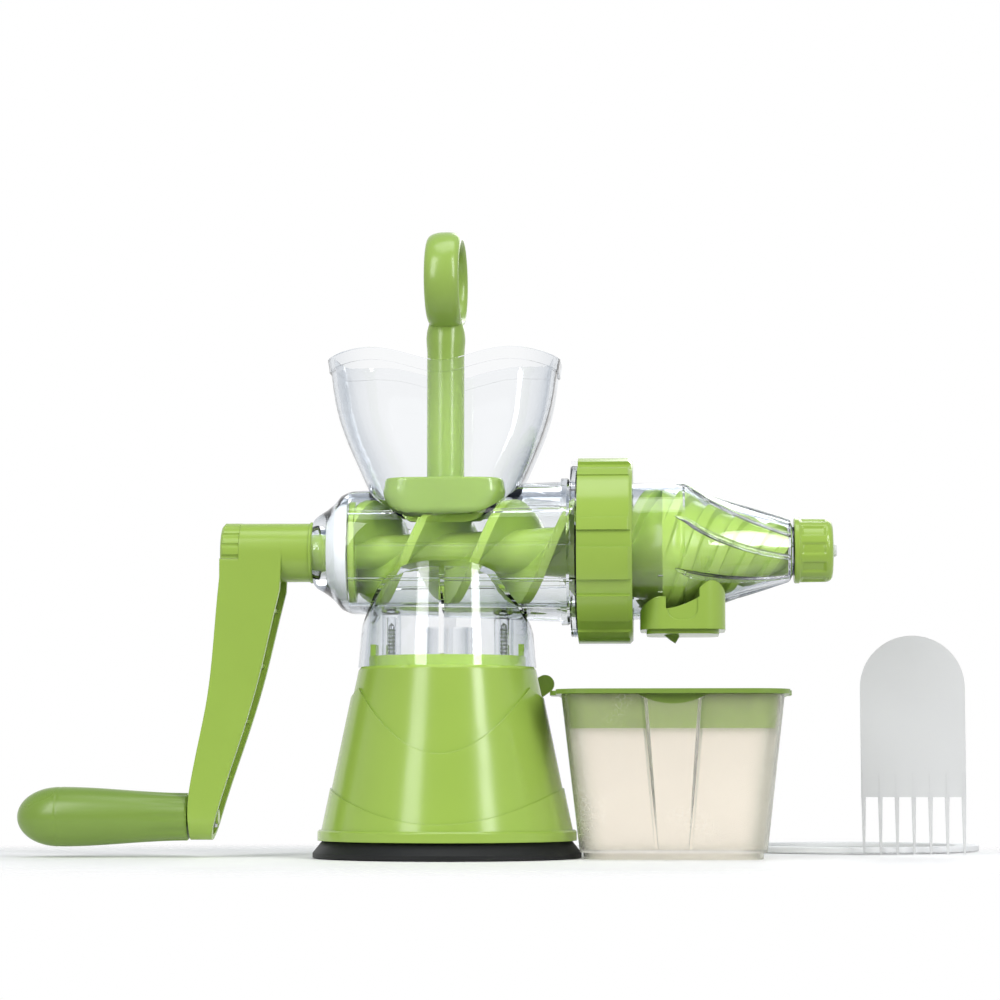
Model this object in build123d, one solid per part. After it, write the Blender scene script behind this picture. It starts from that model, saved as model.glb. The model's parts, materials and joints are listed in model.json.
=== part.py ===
from build123d import *
import math
import os

# Hand-cranked wheatgrass juicer, in millimetres.
# The origin is the middle of the suction foot's underside, on the table. +Z is up, +X runs along
# the barrel towards the strainer cone, and the crank is at the -X end.

# ---------------------------------------------------------------- clearances
RUN_FIT = 0.06          # radial gap of a shaft that turns in its bearing
SLIDE_GAP = 0.3         # gap between pieces that move past each other
SEAT_GAP = 0.05         # radial gap of a fixed piece in its hole
SCREW_GAP = 0.08        # radial gap around a thread

# ---------------------------------------------------------------- suction foot
FOOT_R = 64.0
FOOT_TOP_R = 59.7
FOOT_H = 8.0
FOOT_EDGE_H = 2.2       # height of the upright edge under the slanted side
DISH_R = 50.0           # hollow underside
HUB_FLAT_R = 8.0        # flat middle of the underside
DISH_DEPTH = 1.6
HUB_POCKET_R = 12.4     # pocket that holds the stem's disc
HUB_WALL = 4.0
HUB_FLOOR = 1.9         # rubber under the pocket

# ---------------------------------------------------------------- suction stem and lever
STEM_R = 5.0
STEM_DISC_T = 2.0
STEM_LIFT = 3.0         # how far a quarter turn of the lever lifts the stem
LEVER_AXIS_H = 55.0
LEVER_SHAFT_R = 6.2
CAM_PIN_R = 3.0         # eccentric middle of the lever's shaft
CAM_SLACK = 0.75        # room of the pin in the stem's slot
STEM_HEAD_W = 20.0
STEM_HEAD_Y = 12.0
LEVER_ARM_L = 53.0
LEVER_ARM_T = 6.0
LEVER_ARM_W = 9.0
LEVER_HUB_R = 9.0
LEVER_REST_DEG = 33.0   # of the arm above the horizontal, pointing to +X
CLIP_R = 8.6
CLIP_T = 0.9
CLIP_GROOVE_DEPTH = 1.0

# ---------------------------------------------------------------- base shell
FLANGE_R = 61.75
FLANGE_H = 5.0
SHELL_FOOT_R = 58.4     # cone where it leaves the flange, without its tiers
SHELL_TOP_R = 42.5
SHELL_TOP_H = 90.0
SHELL_WALL = 2.5
TIER_STEP = 0.75        # each of the two tiers stands this far out
UPPER_DIP_H = 48.8      # lowest point of the upper tier's edge, at the front
UPPER_PEAK_H = 80.0
UPPER_PEAK_X = 40.5
LOWER_DIP_H = 16.2
LOWER_END_H = 33.0
LOWER_END_X = 56.0
COUPLING_R = 37.5       # raised disc that centres the clear neck
COUPLING_H = 5.0
COUPLING_TAB_H = 6.0
BEARING_WEB_T = 4.5
BEARING_WEB_H = 30.0
BOSS_R = 4.6

# ---------------------------------------------------------------- screws
SCREW_R = 1.9           # over the thread
SCREW_CORE_R = 1.45
SCREW_PITCH = 1.8
SCREW_HEAD_R = 3.6
SCREW_HEAD_H = 2.4
BODY_SCREW_X = 27.0
BODY_SCREW_L = 24.0
FOOT_SCREW_RING_R = 40.0
FOOT_SCREW_L = 14.0
CLAMP_T = 3.0
CLAMP_R = 53.0

# ---------------------------------------------------------------- clear body
AXIS_H = 145.5          # height of the barrel's axis
NECK_FOOT_R = 42.65
NECK_SHOULDER_R = 38.4
NECK_WALL = 2.6
NECK_TOP_H = 138.9
BORE_R = 26.6
RIB_TIP_R = 25.7        # inner ribs of the bore
BORE_RIB_W = 1.3
BORE_RIBS = 10
BORE_RIB_START_DEG = 4.0
BARREL_X0 = -46.0       # where the full bore starts
BARREL_X1 = 59.6        # left face of the barrel's flange
BARREL_R0 = 29.6
BARREL_R1 = 33.6
END_BOSS_X = -64.0      # outer end of the boss around the shaft
END_BOSS_R = 17.6
BARREL_FLANGE_R = 41.0
BARREL_FLANGE_T = 3.2
NOSE_X1 = 76.0          # right end of the nose inside the collar
NOSE_R = 36.6
NOSE_BORE_R = 31.0
NOSE_BORE_X0 = 65.0     # where the bore has widened to the nose's
LUG_R = 39.3            # bayonet lugs on the nose
LUG_T = 3.0
LUG_DEG = 40.0

# ---------------------------------------------------------------- hopper
HOPPER_RIM_H = 236.0
HOPPER_HUMP_H = 239.8
HOPPER_DIP_H = 233.6
HOPPER_HUMP_X = 31.0
HOPPER_WALL = 2.3
HOPPER_BAND_H = 5.8
HOPPER_BAND_PROUD = 0.8
HOPPER_MID_X = -1.0
# height, half length in X, half depth in Y and corner radius of the outside, from the rim down
HOPPER_SECTIONS = [
    (244.0, 57.2, 37.6, 24.0),
    (213.0, 51.2, 36.4, 24.0),
    (196.0, 45.6, 34.8, 24.0),
    (180.5, 38.8, 32.2, 23.0),
    (169.0, 33.4, 29.6, 20.0),
    (154.0, 22.5, 25.0, 15.0),
]

# ---------------------------------------------------------------- shaft seal and auger
SEAL_X0 = -56.0
SEAL_R = 23.3
SHAFT_R = 9.0
THRUST_R = 24.4
THRUST_T = 2.9
DRIVE_FLAT = 11.0       # across the flats of the square drive
DRIVE_X0 = -94.0
DRIVE_X1 = -66.5
FEED_STARTS = 2         # coarse flights side by side
FEED_LEAD = 67.2        # length of one turn
FEED_LAND_DEG = 21.0    # share of a turn along a flight's edge, then its flank
FEED_RAMP_DEG = 9.0
# length along X and radius of the coarse flights' core and edge
FEED_CORE = [(-42.0, 8.0), (0.0, 9.2), (40.0, 11.0), (60.0, 12.5), (76.0, 17.0), (90.0, 22.0), (104.0, 26.4)]
FEED_EDGE = [(-42.0, 25.2), (60.0, 25.2), (70.0, 28.6), (78.0, 29.5), (104.0, 29.6)]
PRESS_X0 = 103.0        # where the fine flights begin
PRESS_X1 = 162.5
PRESS_STARTS = 4
PRESS_LEAD = 57.0
PRESS_LAND_DEG = 26.0
PRESS_RAMP_DEG = 7.0
PRESS_DEPTH = 2.8       # height of the fine flights over their core
SCREW_SLICE = 2.1       # length along X between the slices of a screw
AUGER_GAP = 0.8         # to the inside of the cone
STUD_R = 4.0
STUD_L = 31.0

# ---------------------------------------------------------------- strainer cone
GASKET_T = 2.5
GASKET_R0 = 31.4
GASKET_R1 = 36.0
CONE_FLANGE_R = 39.4
CONE_FLANGE_T = 6.4
CONE_R = 32.7
CONE_SHOULDER_X = 113.8
CONE_WALL = 2.3
# length along X and outer radius of the taper
CONE_TAPER = [(125.0, 26.8), (139.0, 21.6), (153.2, 17.4), (163.8, 14.3)]
CONE_NECK_X1 = 179.8
CONE_NECK_R = 11.9
CONE_NECK_BORE_R = 8.6
CONE_RIBS = 8
CONE_RIB_TWIST_DEG = 40.0
CONE_RIB_W = 1.4
CONE_RIB_PROUD = 0.7
SLOT_X0 = 105.0
SLOT_L = 12.0
SLOT_W = 1.0
SLOT_PITCH_DEG = 6.0
SLOT_COUNT = 7
HOOK_T = 2.4            # clear ridges that the spout hangs on

# ---------------------------------------------------------------- collar
COLLAR_X0 = 63.1
COLLAR_X1 = 89.0
COLLAR_R = 44.8
COLLAR_RECESS = 1.5
COLLAR_BORE_R = 40.0
COLLAR_LIP_R = 33.2
# turning outwards from the middle of a wide lug: half width of its flat, then rib, gap, pad, gap, pad
COLLAR_FLAT_DEG = 33.0
COLLAR_RIB_DEG = 8.0
COLLAR_GAP_DEG = 10.5
COLLAR_PAD_DEG = 19.8
COLLAR_TURN_DEG = 33.5  # the flat on the front side stands this far above the horizontal

# ---------------------------------------------------------------- end cap and valve
CAP_X0 = 165.7
CAP_X1 = 184.0
CAP_R = 15.0
CAP_FLANGE_R = 15.6
CAP_FLANGE_T = 2.6
CAP_END_WALL = 3.4
CAP_FLUTES = 10
VALVE_R = 2.9
VALVE_FLANGE_R = 5.4
VALVE_PROUD = 2.1

# ---------------------------------------------------------------- juice spout
SPOUT_X0 = 92.4
SPOUT_X1 = 132.7
SPOUT_HALF_Y = 24.0
SPOUT_CORNER_R = 11.0
SPOUT_BOTTOM_H = 107.2
SPOUT_WALL = 1.8
SPOUT_LEFT_H = 122.4
SPOUT_TOWER_H = 133.4
SPOUT_LIP_T = 2.0
SPOUT_PANEL_X0 = 104.6
SPOUT_PANEL_X1 = 120.4
SPOUT_PANEL_LOW_H = 111.5
CHUTE_TIP_X = 109.0
CHUTE_TIP_H = 101.5
CHUTE_W = 9.0

# ---------------------------------------------------------------- crank
CRANK_R = 126.5
HUB_R = 14.15
HUB_X0 = -99.3
HUB_X1 = END_BOSS_X - SLIDE_GAP
ARM_TOP_HALF_Y = 14.2
ARM_END_R = 11.0
ARM_WALL = 2.6
ARM_WEB_T = 3.0
ARM_RIB_T = 1.8
ARM_RIB_PITCH = 26.5
NUT_R = 14.25
NUT_X0 = -108.2
NUT_FLUTES = 16
GRIP_X0 = -207.1
GRIP_X1 = -123.8
GRIP_END_R = 11.35
GRIP_MAX_R = 14.25
GRIP_MAX_X = -185.5
AXLE_R = 4.0
AXLE_HEAD_R = 5.6
AXLE_HEAD_T = 4.0
AXLE_IN_GRIP = 52.0
AXLE_NUT_AF = 10.0
AXLE_NUT_T = 4.5

# ---------------------------------------------------------------- pusher
PUSHER_X = -1.0
ROD_R = 9.0
ROD_TOP_H = 253.0
RING_TOP_H = 301.0
RING_OUTER_H = 48.0
RING_T = 6.2
RING_BAND_W = 16.5
RING_TURN_DEG = -2.5
PAD_TOP_H = 180.0
PAD_LOW_H = 162.7
PAD_HALF_X = 28.2
PAD_HALF_Y = 21.6
PAD_AUGER_R = 26.1      # saddle under the pad, clear of the flights

# ---------------------------------------------------------------- cup and its strainer
CUP_MID_X = 107.6
CUP_TOP_HALF_X = 52.0
CUP_BOTTOM_HALF_X = 43.4
CUP_TOP_HALF_Y = 46.0
CUP_BOTTOM_HALF_Y = 37.6
CUP_H = 76.2
CUP_FLOOR_H = 4.6
CUP_RING_INSET = 1.6
CUP_WALL = 1.6
CUP_CORNER_R = 15.0
POUR_TOP_HALF = 16.0
POUR_BOTTOM_HALF = 11.0
POUR_PROUD = 4.5
POUR_DIP = 4.6
LID_T = 2.2
LID_OVERHANG = 2.6
LID_TAB_X0 = 49.4
LID_TAB_X1 = 163.8
LID_TAB_HALF_Y = 13.0
TRAY_DEPTH = 18.2
TRAY_WALL = 1.6
TRAY_GAP = 1.0          # between the tray and the cup's wall
TRAY_SLOTS = 19
TRAY_SLOT_W = 1.4

# ---------------------------------------------------------------- comb and spare ring
COMB_X0 = 200.4
COMB_W = 51.4
COMB_Y = 60.0
COMB_H = 107.6
COMB_T = 2.2
COMB_TINE_TOP_H = 28.0
COMB_TINES = 7
COMB_TINE_W = 2.2
COMB_TINE_TIP_W = 1.0
COMB_DISH_R = 21.0
RING_R = 65.0
RING_BORE_R = 53.8
RING_THICK = 3.0
RING_MID_X = 200.0
RING_MID_Y = 134.0


# ---------------------------------------------------------------- helpers
def rod_x(x0, x1, r, z=AXIS_H, y=0.0):
    """Round bar along X."""
    return Pos((x0 + x1) / 2, y, z) * Rot(0, 90, 0) * Cylinder(r, x1 - x0)


def rod_y(y0, y1, r, x, z):
    """Round bar along Y."""
    return Pos(x, (y0 + y1) / 2, z) * Rot(90, 0, 0) * Cylinder(r, y1 - y0)


def rod_z(z0, z1, r, x=0.0, y=0.0):
    """Round bar along Z."""
    return Pos(x, y, (z0 + z1) / 2) * Cylinder(r, z1 - z0)


def block(x0, x1, y0, y1, z0, z1):
    """Box between two corners."""
    return Pos((x0 + x1) / 2, (y0 + y1) / 2, (z0 + z1) / 2) * Box(x1 - x0, y1 - y0, z1 - z0)


def turned_x(points, z=AXIS_H):
    """Solid turned about the line along X at height z, from (x, radius) corners."""
    return turned_edges_x([Polyline(points, close=True)], z)


def turned_edges_x(edges, z=AXIS_H):
    """Solid turned about the line along X at height z, from edges drawn as (x, radius)."""
    side = Plane((0, 0, z), x_dir=(1, 0, 0), z_dir=(0, -1, 0))
    return revolve(side * make_face(edges), Axis((0, 0, z), (1, 0, 0)))


def turned_z(points):
    """Solid turned about Z, from (radius, z) corners."""
    return revolve(make_face(Plane.XZ * Polyline(points, close=True)), Axis.Z)


def plate_xz(points, y0, y1):
    """Outline of (x, z) corners, made solid from y0 to y1."""
    return plate_from(Polyline(points, close=True), y0, y1)


def plate_from(outline, y0, y1):
    """Closed outline drawn in X and Z, made solid from y0 to y1."""
    face = Plane.XZ.offset(-y0) * make_face(outline)
    return extrude(face, y1 - y0, dir=(0, 1, 0))


def sector_x(x0, x1, r_in, r_out, mid_deg, wide_deg):
    """Piece of a ring about the barrel's axis. Degrees run from -Y (the front) towards +Z."""
    half = math.radians(wide_deg / 2)
    mid = math.radians(mid_deg)

    def at(r, turn):
        return (-r * math.cos(mid + turn), r * math.sin(mid + turn))

    edge = [
        Line(at(r_in, -half), at(r_out, -half)),
        ThreePointArc(at(r_out, -half), at(r_out, 0), at(r_out, half)),
        Line(at(r_out, half), at(r_in, half)),
        ThreePointArc(at(r_in, half), at(r_in, 0), at(r_in, -half)),
    ]
    face = Plane((x0, 0, AXIS_H), x_dir=(0, 1, 0), z_dir=(1, 0, 0)) * make_face(edge)
    return extrude(face, x1 - x0)


def rounded_loft(sections, mid_x=0.0, inset=0.0, mid_y=0.0):
    """Loft of rounded rectangles: (z, half length in X, half depth in Y, corner radius)."""
    faces = []
    for z, half_x, half_y, corner in sections:
        outline = RectangleRounded(2 * (half_x - inset), 2 * (half_y - inset), corner - inset)
        faces.append(Pos(mid_x, mid_y, z) * outline)
    return loft(faces)


def self_tapping_screw(x, y, z_head, length):
    """Screw that points up, with its head's upper face at z_head."""
    corners = [(0, z_head - SCREW_HEAD_H), (SCREW_HEAD_R * 0.8, z_head - SCREW_HEAD_H)]
    corners += [(SCREW_HEAD_R, z_head - SCREW_HEAD_H * 0.5), (SCREW_HEAD_R, z_head)]
    corners += [(SCREW_CORE_R, z_head)]
    turns = int((length - 2 * SCREW_PITCH) / SCREW_PITCH)
    z = z_head + SCREW_PITCH
    for _ in range(turns):
        corners += [
            (SCREW_CORE_R, z), (SCREW_R, z + 0.35 * SCREW_PITCH), (SCREW_CORE_R, z + 0.7 * SCREW_PITCH)]
        z += SCREW_PITCH
    corners += [(SCREW_CORE_R, z_head + length - 1.5), (0, z_head + length)]
    screw = Pos(x, y, 0) * turned_z(corners)
    drive = Pos(x, y, z_head - SCREW_HEAD_H) * Box(0.9, 4.2, 2.0)
    return screw - drive - Rot(0, 0, 90) * Pos(y, -x, z_head - SCREW_HEAD_H) * Box(0.9, 4.2, 2.0)


def as_group(solids):
    """Several separate solids in one node."""
    return Compound(children=list(solids))


# ---------------------------------------------------------------- base
SHELL_SEAT_H = FOOT_H                       # the shell's flange stands on the rubber
CONE_FOOT_H = SHELL_SEAT_H + FLANGE_H
COUPLING_TOP_H = SHELL_TOP_H + COUPLING_H
HUB_POCKET_TOP = HUB_FLOOR + SLIDE_GAP + STEM_DISC_T + STEM_LIFT + SLIDE_GAP
HUB_TOP_H = HUB_POCKET_TOP + 2.4
CAM_THROW = STEM_LIFT                       # a quarter turn from the lowest point lifts by the throw
LEVER_REACH = math.radians(LEVER_REST_DEG)
CAM_PIN_H = LEVER_AXIS_H - CAM_THROW


def shell_r(z):
    """Outside radius of the plain cone at a height."""
    share = (z - CONE_FOOT_H) / (SHELL_TOP_H - CONE_FOOT_H)
    return SHELL_FOOT_R + share * (SHELL_TOP_R - SHELL_FOOT_R)


LEVER_PLANE_Y = shell_r(LEVER_AXIS_H) + 2 * TIER_STEP + 6.5
BEARING_Y = STEM_HEAD_Y / 2 + 2.2           # inner face of each bearing web


def suction_foot():
    """Rubber pad with a slanted rim, a hollow underside and a hub around the stem's disc."""
    pad = turned_z([
        (0, 0), (HUB_FLAT_R, 0), (HUB_FLAT_R + 1.5, DISH_DEPTH), (DISH_R - 3, DISH_DEPTH), (DISH_R, 0),
        (FOOT_R, 0), (FOOT_R, FOOT_EDGE_H),
        (FOOT_TOP_R, FOOT_H - 0.5), (FOOT_TOP_R - 0.5, FOOT_H), (HUB_POCKET_R + HUB_WALL, FOOT_H),
        (HUB_POCKET_R + HUB_WALL, HUB_TOP_H), (0, HUB_TOP_H),
    ])
    pocket = rod_z(HUB_FLOOR, HUB_POCKET_TOP, HUB_POCKET_R)
    return pad - pocket - rod_z(HUB_FLOOR, HUB_TOP_H + 1, STEM_R + SLIDE_GAP)


def foot_screw_places():
    """Four places on a ring, between the X and Y axes."""
    turns = [math.radians(45 + 90 * k) for k in range(4)]
    return [(FOOT_SCREW_RING_R * math.cos(t), FOOT_SCREW_RING_R * math.sin(t)) for t in turns]


def foot_clamp():
    """Ring plate on top of the rubber, with recesses for the screw heads."""
    plate = rod_z(FOOT_H, FOOT_H + CLAMP_T, CLAMP_R)
    plate -= rod_z(FOOT_H, FOOT_H + CLAMP_T, HUB_POCKET_R + HUB_WALL + SLIDE_GAP)
    for x, y in foot_screw_places():
        plate -= rod_z(FOOT_H - 1, FOOT_H + SCREW_HEAD_H + SEAT_GAP, SCREW_HEAD_R + SCREW_GAP, x, y)
        plate -= rod_z(FOOT_H, FOOT_H + CLAMP_T + 1, SCREW_R + SCREW_GAP, x, y)
    return plate


def foot_screws():
    """Screws from the clamp plate up into the shell's bosses."""
    head_top = FOOT_H + SCREW_HEAD_H
    return as_group(self_tapping_screw(x, y, head_top, FOOT_SCREW_L) for x, y in foot_screw_places())


def tier(step, dip_h, end_h, end_x, side_fall):
    """Band of the cone that stands out by step, under a parabola that dips at the front and back."""
    grown = turned_z([
        (0, CONE_FOOT_H), (SHELL_FOOT_R + step, CONE_FOOT_H),
        (SHELL_TOP_R + step, SHELL_TOP_H), (0, SHELL_TOP_H),
    ])
    side_x = FLANGE_R + 10
    side_h = end_h - side_fall * (side_x - end_x)
    edge = [
        Bezier((-end_x, end_h), (0, 2 * dip_h - end_h), (end_x, end_h)),
        Polyline(
            (end_x, end_h), (side_x, side_h), (side_x, 0), (-side_x, 0), (-side_x, side_h), (-end_x, end_h)),
    ]
    return grown & plate_from(edge, -side_x, side_x)


def base_shell():
    """Hollow cone with its flange, tiers, lever bearings, screw bosses and coupling disc."""
    shell = turned_z([
        (0, SHELL_SEAT_H), (FLANGE_R, SHELL_SEAT_H), (FLANGE_R, CONE_FOOT_H - 0.8),
        (FLANGE_R - 0.8, CONE_FOOT_H), (SHELL_FOOT_R, CONE_FOOT_H), (SHELL_TOP_R, SHELL_TOP_H - 1.2),
        (SHELL_TOP_R - 1.2, SHELL_TOP_H), (COUPLING_R, SHELL_TOP_H), (COUPLING_R, COUPLING_TOP_H),
        (0, COUPLING_TOP_H),
    ])
    shell += tier(TIER_STEP, UPPER_DIP_H, UPPER_PEAK_H, UPPER_PEAK_X, 0.8)
    shell += tier(2 * TIER_STEP, LOWER_DIP_H, LOWER_END_H, LOWER_END_X, 0.0)
    lever_boss_end = LEVER_PLANE_Y - LEVER_ARM_T / 2 - SLIDE_GAP
    shell += rod_y(30, lever_boss_end, LEVER_HUB_R, 0, LEVER_AXIS_H)
    deck_under = SHELL_TOP_H - SHELL_WALL
    hollow = turned_z([
        (0, SHELL_SEAT_H - 1), (CLAMP_R + SLIDE_GAP, SHELL_SEAT_H - 1),
        (CLAMP_R + SLIDE_GAP, CONE_FOOT_H), (shell_r(CONE_FOOT_H) - SHELL_WALL, CONE_FOOT_H + 4),
        (shell_r(deck_under) - SHELL_WALL, deck_under), (0, deck_under),
    ])
    inside = hollow
    web_low = LEVER_AXIS_H - BEARING_WEB_H / 2
    ribs = block(-60, 60, BEARING_Y, BEARING_Y + BEARING_WEB_T, web_low, deck_under + 1)
    ribs += block(-60, 60, -BEARING_Y - BEARING_WEB_T, -BEARING_Y, web_low, deck_under + 1)
    for x, y in foot_screw_places():
        boss_top = FOOT_H + CLAMP_T + FOOT_SCREW_L + 6
        turn = math.degrees(math.atan2(y, x))
        fin = Rot(0, 0, turn) * block(FOOT_SCREW_RING_R, 60, -1.2, 1.2, FOOT_H + CLAMP_T, boss_top)
        ribs += rod_z(FOOT_H + CLAMP_T, boss_top, BOSS_R, x, y) + fin
    ribs += rod_y(BEARING_Y, 45, LEVER_HUB_R, 0, LEVER_AXIS_H)
    shell = shell - hollow + (ribs & inside)
    shell -= rod_y(-60, LEVER_PLANE_Y, LEVER_SHAFT_R + RUN_FIT, 0, LEVER_AXIS_H) & block(
        -20, 20, -BEARING_Y - BEARING_WEB_T - 1, LEVER_PLANE_Y, 0, SHELL_TOP_H)
    for x, y in foot_screw_places():
        shell -= rod_z(FOOT_H + CLAMP_T - 1, FOOT_H + CLAMP_T + FOOT_SCREW_L + 2, SCREW_R + SCREW_GAP, x, y)
    for side in (-1, 1):
        shell -= rod_z(deck_under - 1, COUPLING_TOP_H + 1, SCREW_R + SCREW_GAP, side * BODY_SCREW_X)
        tab = block(-1.3, 1.3, -5, 5, COUPLING_TOP_H - 0.5, COUPLING_TOP_H + COUPLING_TAB_H)
        shell += Pos(side * (COUPLING_R - 2.2), 0, 0) * tab
    return shell


def suction_stem():
    """Stem with a disc in the rubber's hub and a slotted head around the lever's cam."""
    disc_h = HUB_FLOOR + SLIDE_GAP
    disc = rod_z(disc_h, disc_h + STEM_DISC_T, HUB_POCKET_R - SLIDE_GAP)
    head_half_h = CAM_PIN_R + CAM_SLACK + 4.0
    head_low = CAM_PIN_H - head_half_h
    rod = rod_z(disc_h, head_low + 1, STEM_R)
    head_half_x = STEM_HEAD_W / 2
    head_half_y = STEM_HEAD_Y / 2
    head = block(-head_half_x, head_half_x, -head_half_y, head_half_y, head_low, CAM_PIN_H + head_half_h)
    head = fillet(head.edges().filter_by(Axis.Y), 3.0)
    slot_half_x = CAM_THROW + CAM_PIN_R + CAM_SLACK
    slot_half_z = CAM_PIN_R + CAM_SLACK
    slot = block(
        -slot_half_x, slot_half_x, -STEM_HEAD_Y, STEM_HEAD_Y, CAM_PIN_H - slot_half_z, CAM_PIN_H + slot_half_z)
    return disc + rod + head - slot


def suction_lever():
    """Lever arm behind the shell, with a shaft whose middle is an eccentric pin."""
    shaft_front = -BEARING_Y - BEARING_WEB_T - 3.2
    middle = STEM_HEAD_Y / 2 + 1.0
    lever = rod_y(middle, LEVER_PLANE_Y, LEVER_SHAFT_R, 0, LEVER_AXIS_H)
    lever += rod_y(shaft_front, -middle, LEVER_SHAFT_R, 0, LEVER_AXIS_H)
    lever += rod_y(-middle - 0.5, middle + 0.5, CAM_PIN_R, 0, CAM_PIN_H)
    arm_back = LEVER_PLANE_Y + LEVER_ARM_T / 2
    arm_front = LEVER_PLANE_Y - LEVER_ARM_T / 2
    lever += rod_y(arm_front, arm_back + 1.0, LEVER_HUB_R, 0, LEVER_AXIS_H)
    tip_x = LEVER_ARM_L * math.cos(LEVER_REACH)
    tip_h = LEVER_AXIS_H + LEVER_ARM_L * math.sin(LEVER_REACH)
    across = (-math.sin(LEVER_REACH), math.cos(LEVER_REACH))
    root_half = LEVER_HUB_R * 0.8
    tip_half = LEVER_ARM_W / 2
    arm = plate_xz([
        (root_half * across[0], LEVER_AXIS_H + root_half * across[1]),
        (tip_x + tip_half * across[0], tip_h + tip_half * across[1]),
        (tip_x - tip_half * across[0], tip_h - tip_half * across[1]),
        (-root_half * across[0], LEVER_AXIS_H - root_half * across[1]),
    ], arm_front, arm_back)
    lever += arm + rod_y(arm_front, arm_back, tip_half, tip_x, tip_h)
    groove_y = shaft_front + 1.2
    groove = rod_y(groove_y, groove_y + CLIP_T + 2 * SEAT_GAP, LEVER_SHAFT_R + 1, 0, LEVER_AXIS_H)
    groove -= rod_y(groove_y - 1, groove_y + 3, LEVER_SHAFT_R - CLIP_GROOVE_DEPTH, 0, LEVER_AXIS_H)
    return lever - groove


def lever_clip():
    """Open clip ring in the shaft's groove."""
    clip_y = -BEARING_Y - BEARING_WEB_T - 2.0 + SEAT_GAP
    ring = rod_y(clip_y, clip_y + CLIP_T, CLIP_R, 0, LEVER_AXIS_H)
    ring -= rod_y(clip_y - 1, clip_y + 2, LEVER_SHAFT_R - CLIP_GROOVE_DEPTH + SEAT_GAP, 0, LEVER_AXIS_H)
    return ring - block(-2.5, 2.5, clip_y - 1, clip_y + 2, LEVER_AXIS_H, LEVER_AXIS_H + CLIP_R + 1)


def body_screws():
    """Two screws from under the deck up into the clear neck's bosses."""
    head_top = SHELL_TOP_H - SHELL_WALL
    return as_group(self_tapping_screw(side * BODY_SCREW_X, 0, head_top, BODY_SCREW_L) for side in (-1, 1))


# ---------------------------------------------------------------- clear body
NECK_SEAT_H = SHELL_TOP_H
BARREL_FLANGE_X1 = BARREL_X1 + BARREL_FLANGE_T


def neck_solid(inset, low_h):
    """Neck with an arched top, smaller all round by inset, from low_h upwards."""
    foot_r = NECK_FOOT_R - inset
    shoulder_r = NECK_SHOULDER_R - inset
    top = NECK_TOP_H - inset
    drop = NECK_SEAT_H - low_h
    slope = (NECK_FOOT_R - NECK_SHOULDER_R) / (NECK_TOP_H - NECK_SEAT_H)
    cone = turned_z([(0, low_h), (foot_r + drop * slope, low_h), (shoulder_r, NECK_TOP_H), (0, NECK_TOP_H)])
    waist = 39.6 - inset
    half = [(waist, 111.0), (34.2 - inset, 122.0 - 0.4 * inset), (28.6 - inset, 130.6 - 0.7 * inset)]
    half += [(19.5 - inset * 0.6, 136.4 - inset)]
    left = [(-x, z) for x, z in half]
    edge = [
        Spline(*left, (0, top), *reversed(half)),
        Polyline((waist, 111.0), (NECK_FOOT_R + 4, low_h), (-NECK_FOOT_R - 4, low_h), (-waist, 111.0)),
    ]
    return cone & plate_from(edge, -NECK_FOOT_R - 5, NECK_FOOT_R + 5)


def hopper_solid(inset):
    """Rounded funnel, smaller all round by inset."""
    return rounded_loft(HOPPER_SECTIONS, HOPPER_MID_X, inset)


def below_rim(drop):
    """Everything under the hopper's wavy rim, lowered by drop."""
    side = HOPPER_SECTIONS[0][1] + 10
    wave = [
        (-side, HOPPER_RIM_H - 2.2), (-HOPPER_HUMP_X - 20, HOPPER_RIM_H + 1.6),
        (-HOPPER_HUMP_X, HOPPER_HUMP_H),
        (-HOPPER_HUMP_X / 2, HOPPER_HUMP_H - 3.0), (0, HOPPER_DIP_H),
        (HOPPER_HUMP_X / 2, HOPPER_HUMP_H - 3.0),
        (HOPPER_HUMP_X, HOPPER_HUMP_H), (HOPPER_HUMP_X + 20, HOPPER_RIM_H + 1.6), (side, HOPPER_RIM_H - 2.2),
    ]
    wave = [(HOPPER_MID_X + x, z - drop) for x, z in wave]
    low = AXIS_H - 20
    edge = [Spline(*wave), Polyline(wave[-1], (wave[-1][0], low), (wave[0][0], low), wave[0])]
    return plate_from(edge, -side, side)


def bore_cutter():
    """Everything turned out of the barrel: shaft hole, seal seat, bore and nose."""
    return turned_x([
        (END_BOSS_X - 1, 0), (END_BOSS_X - 1, SHAFT_R + RUN_FIT), (SEAL_X0 - SEAT_GAP, SHAFT_R + RUN_FIT),
        (SEAL_X0 - SEAT_GAP, SEAL_R - 4.8), (SEAL_X0 + 4.5, SEAL_R - 0.3), (BARREL_X0, SEAL_R + SEAT_GAP),
        (BARREL_X0, BORE_R), (BARREL_FLANGE_X1 - 1, BORE_R), (NOSE_BORE_X0, NOSE_BORE_R),
        (NOSE_X1 + 1, NOSE_BORE_R), (NOSE_X1 + 1, 0),
    ])


def barrel_solid():
    """Outside of the barrel, its end boss, flange and nose, without the bore."""
    return turned_x([
        (END_BOSS_X, 0), (END_BOSS_X, END_BOSS_R - 1.6), (END_BOSS_X + 1.6, END_BOSS_R),
        (SEAL_X0 - 1.5, 20.6), (SEAL_X0 + 2.0, 23.6), (SEAL_X0 + 5.5, 27.6), (BARREL_X0 - 1.5, 29.0),
        (BARREL_X0 + 1.0, BARREL_R0), (BARREL_X1 - 4.6, BARREL_R1), (BARREL_X1 - 4.6, BARREL_R1 + 1.7),
        (BARREL_X1 - 1.6, BARREL_R1 + 1.7), (BARREL_X1, BARREL_R1 + 0.6), (BARREL_X1, BARREL_FLANGE_R),
        (BARREL_FLANGE_X1, BARREL_FLANGE_R), (BARREL_FLANGE_X1, NOSE_R), (NOSE_X1, NOSE_R), (NOSE_X1, 0),
    ])


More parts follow.
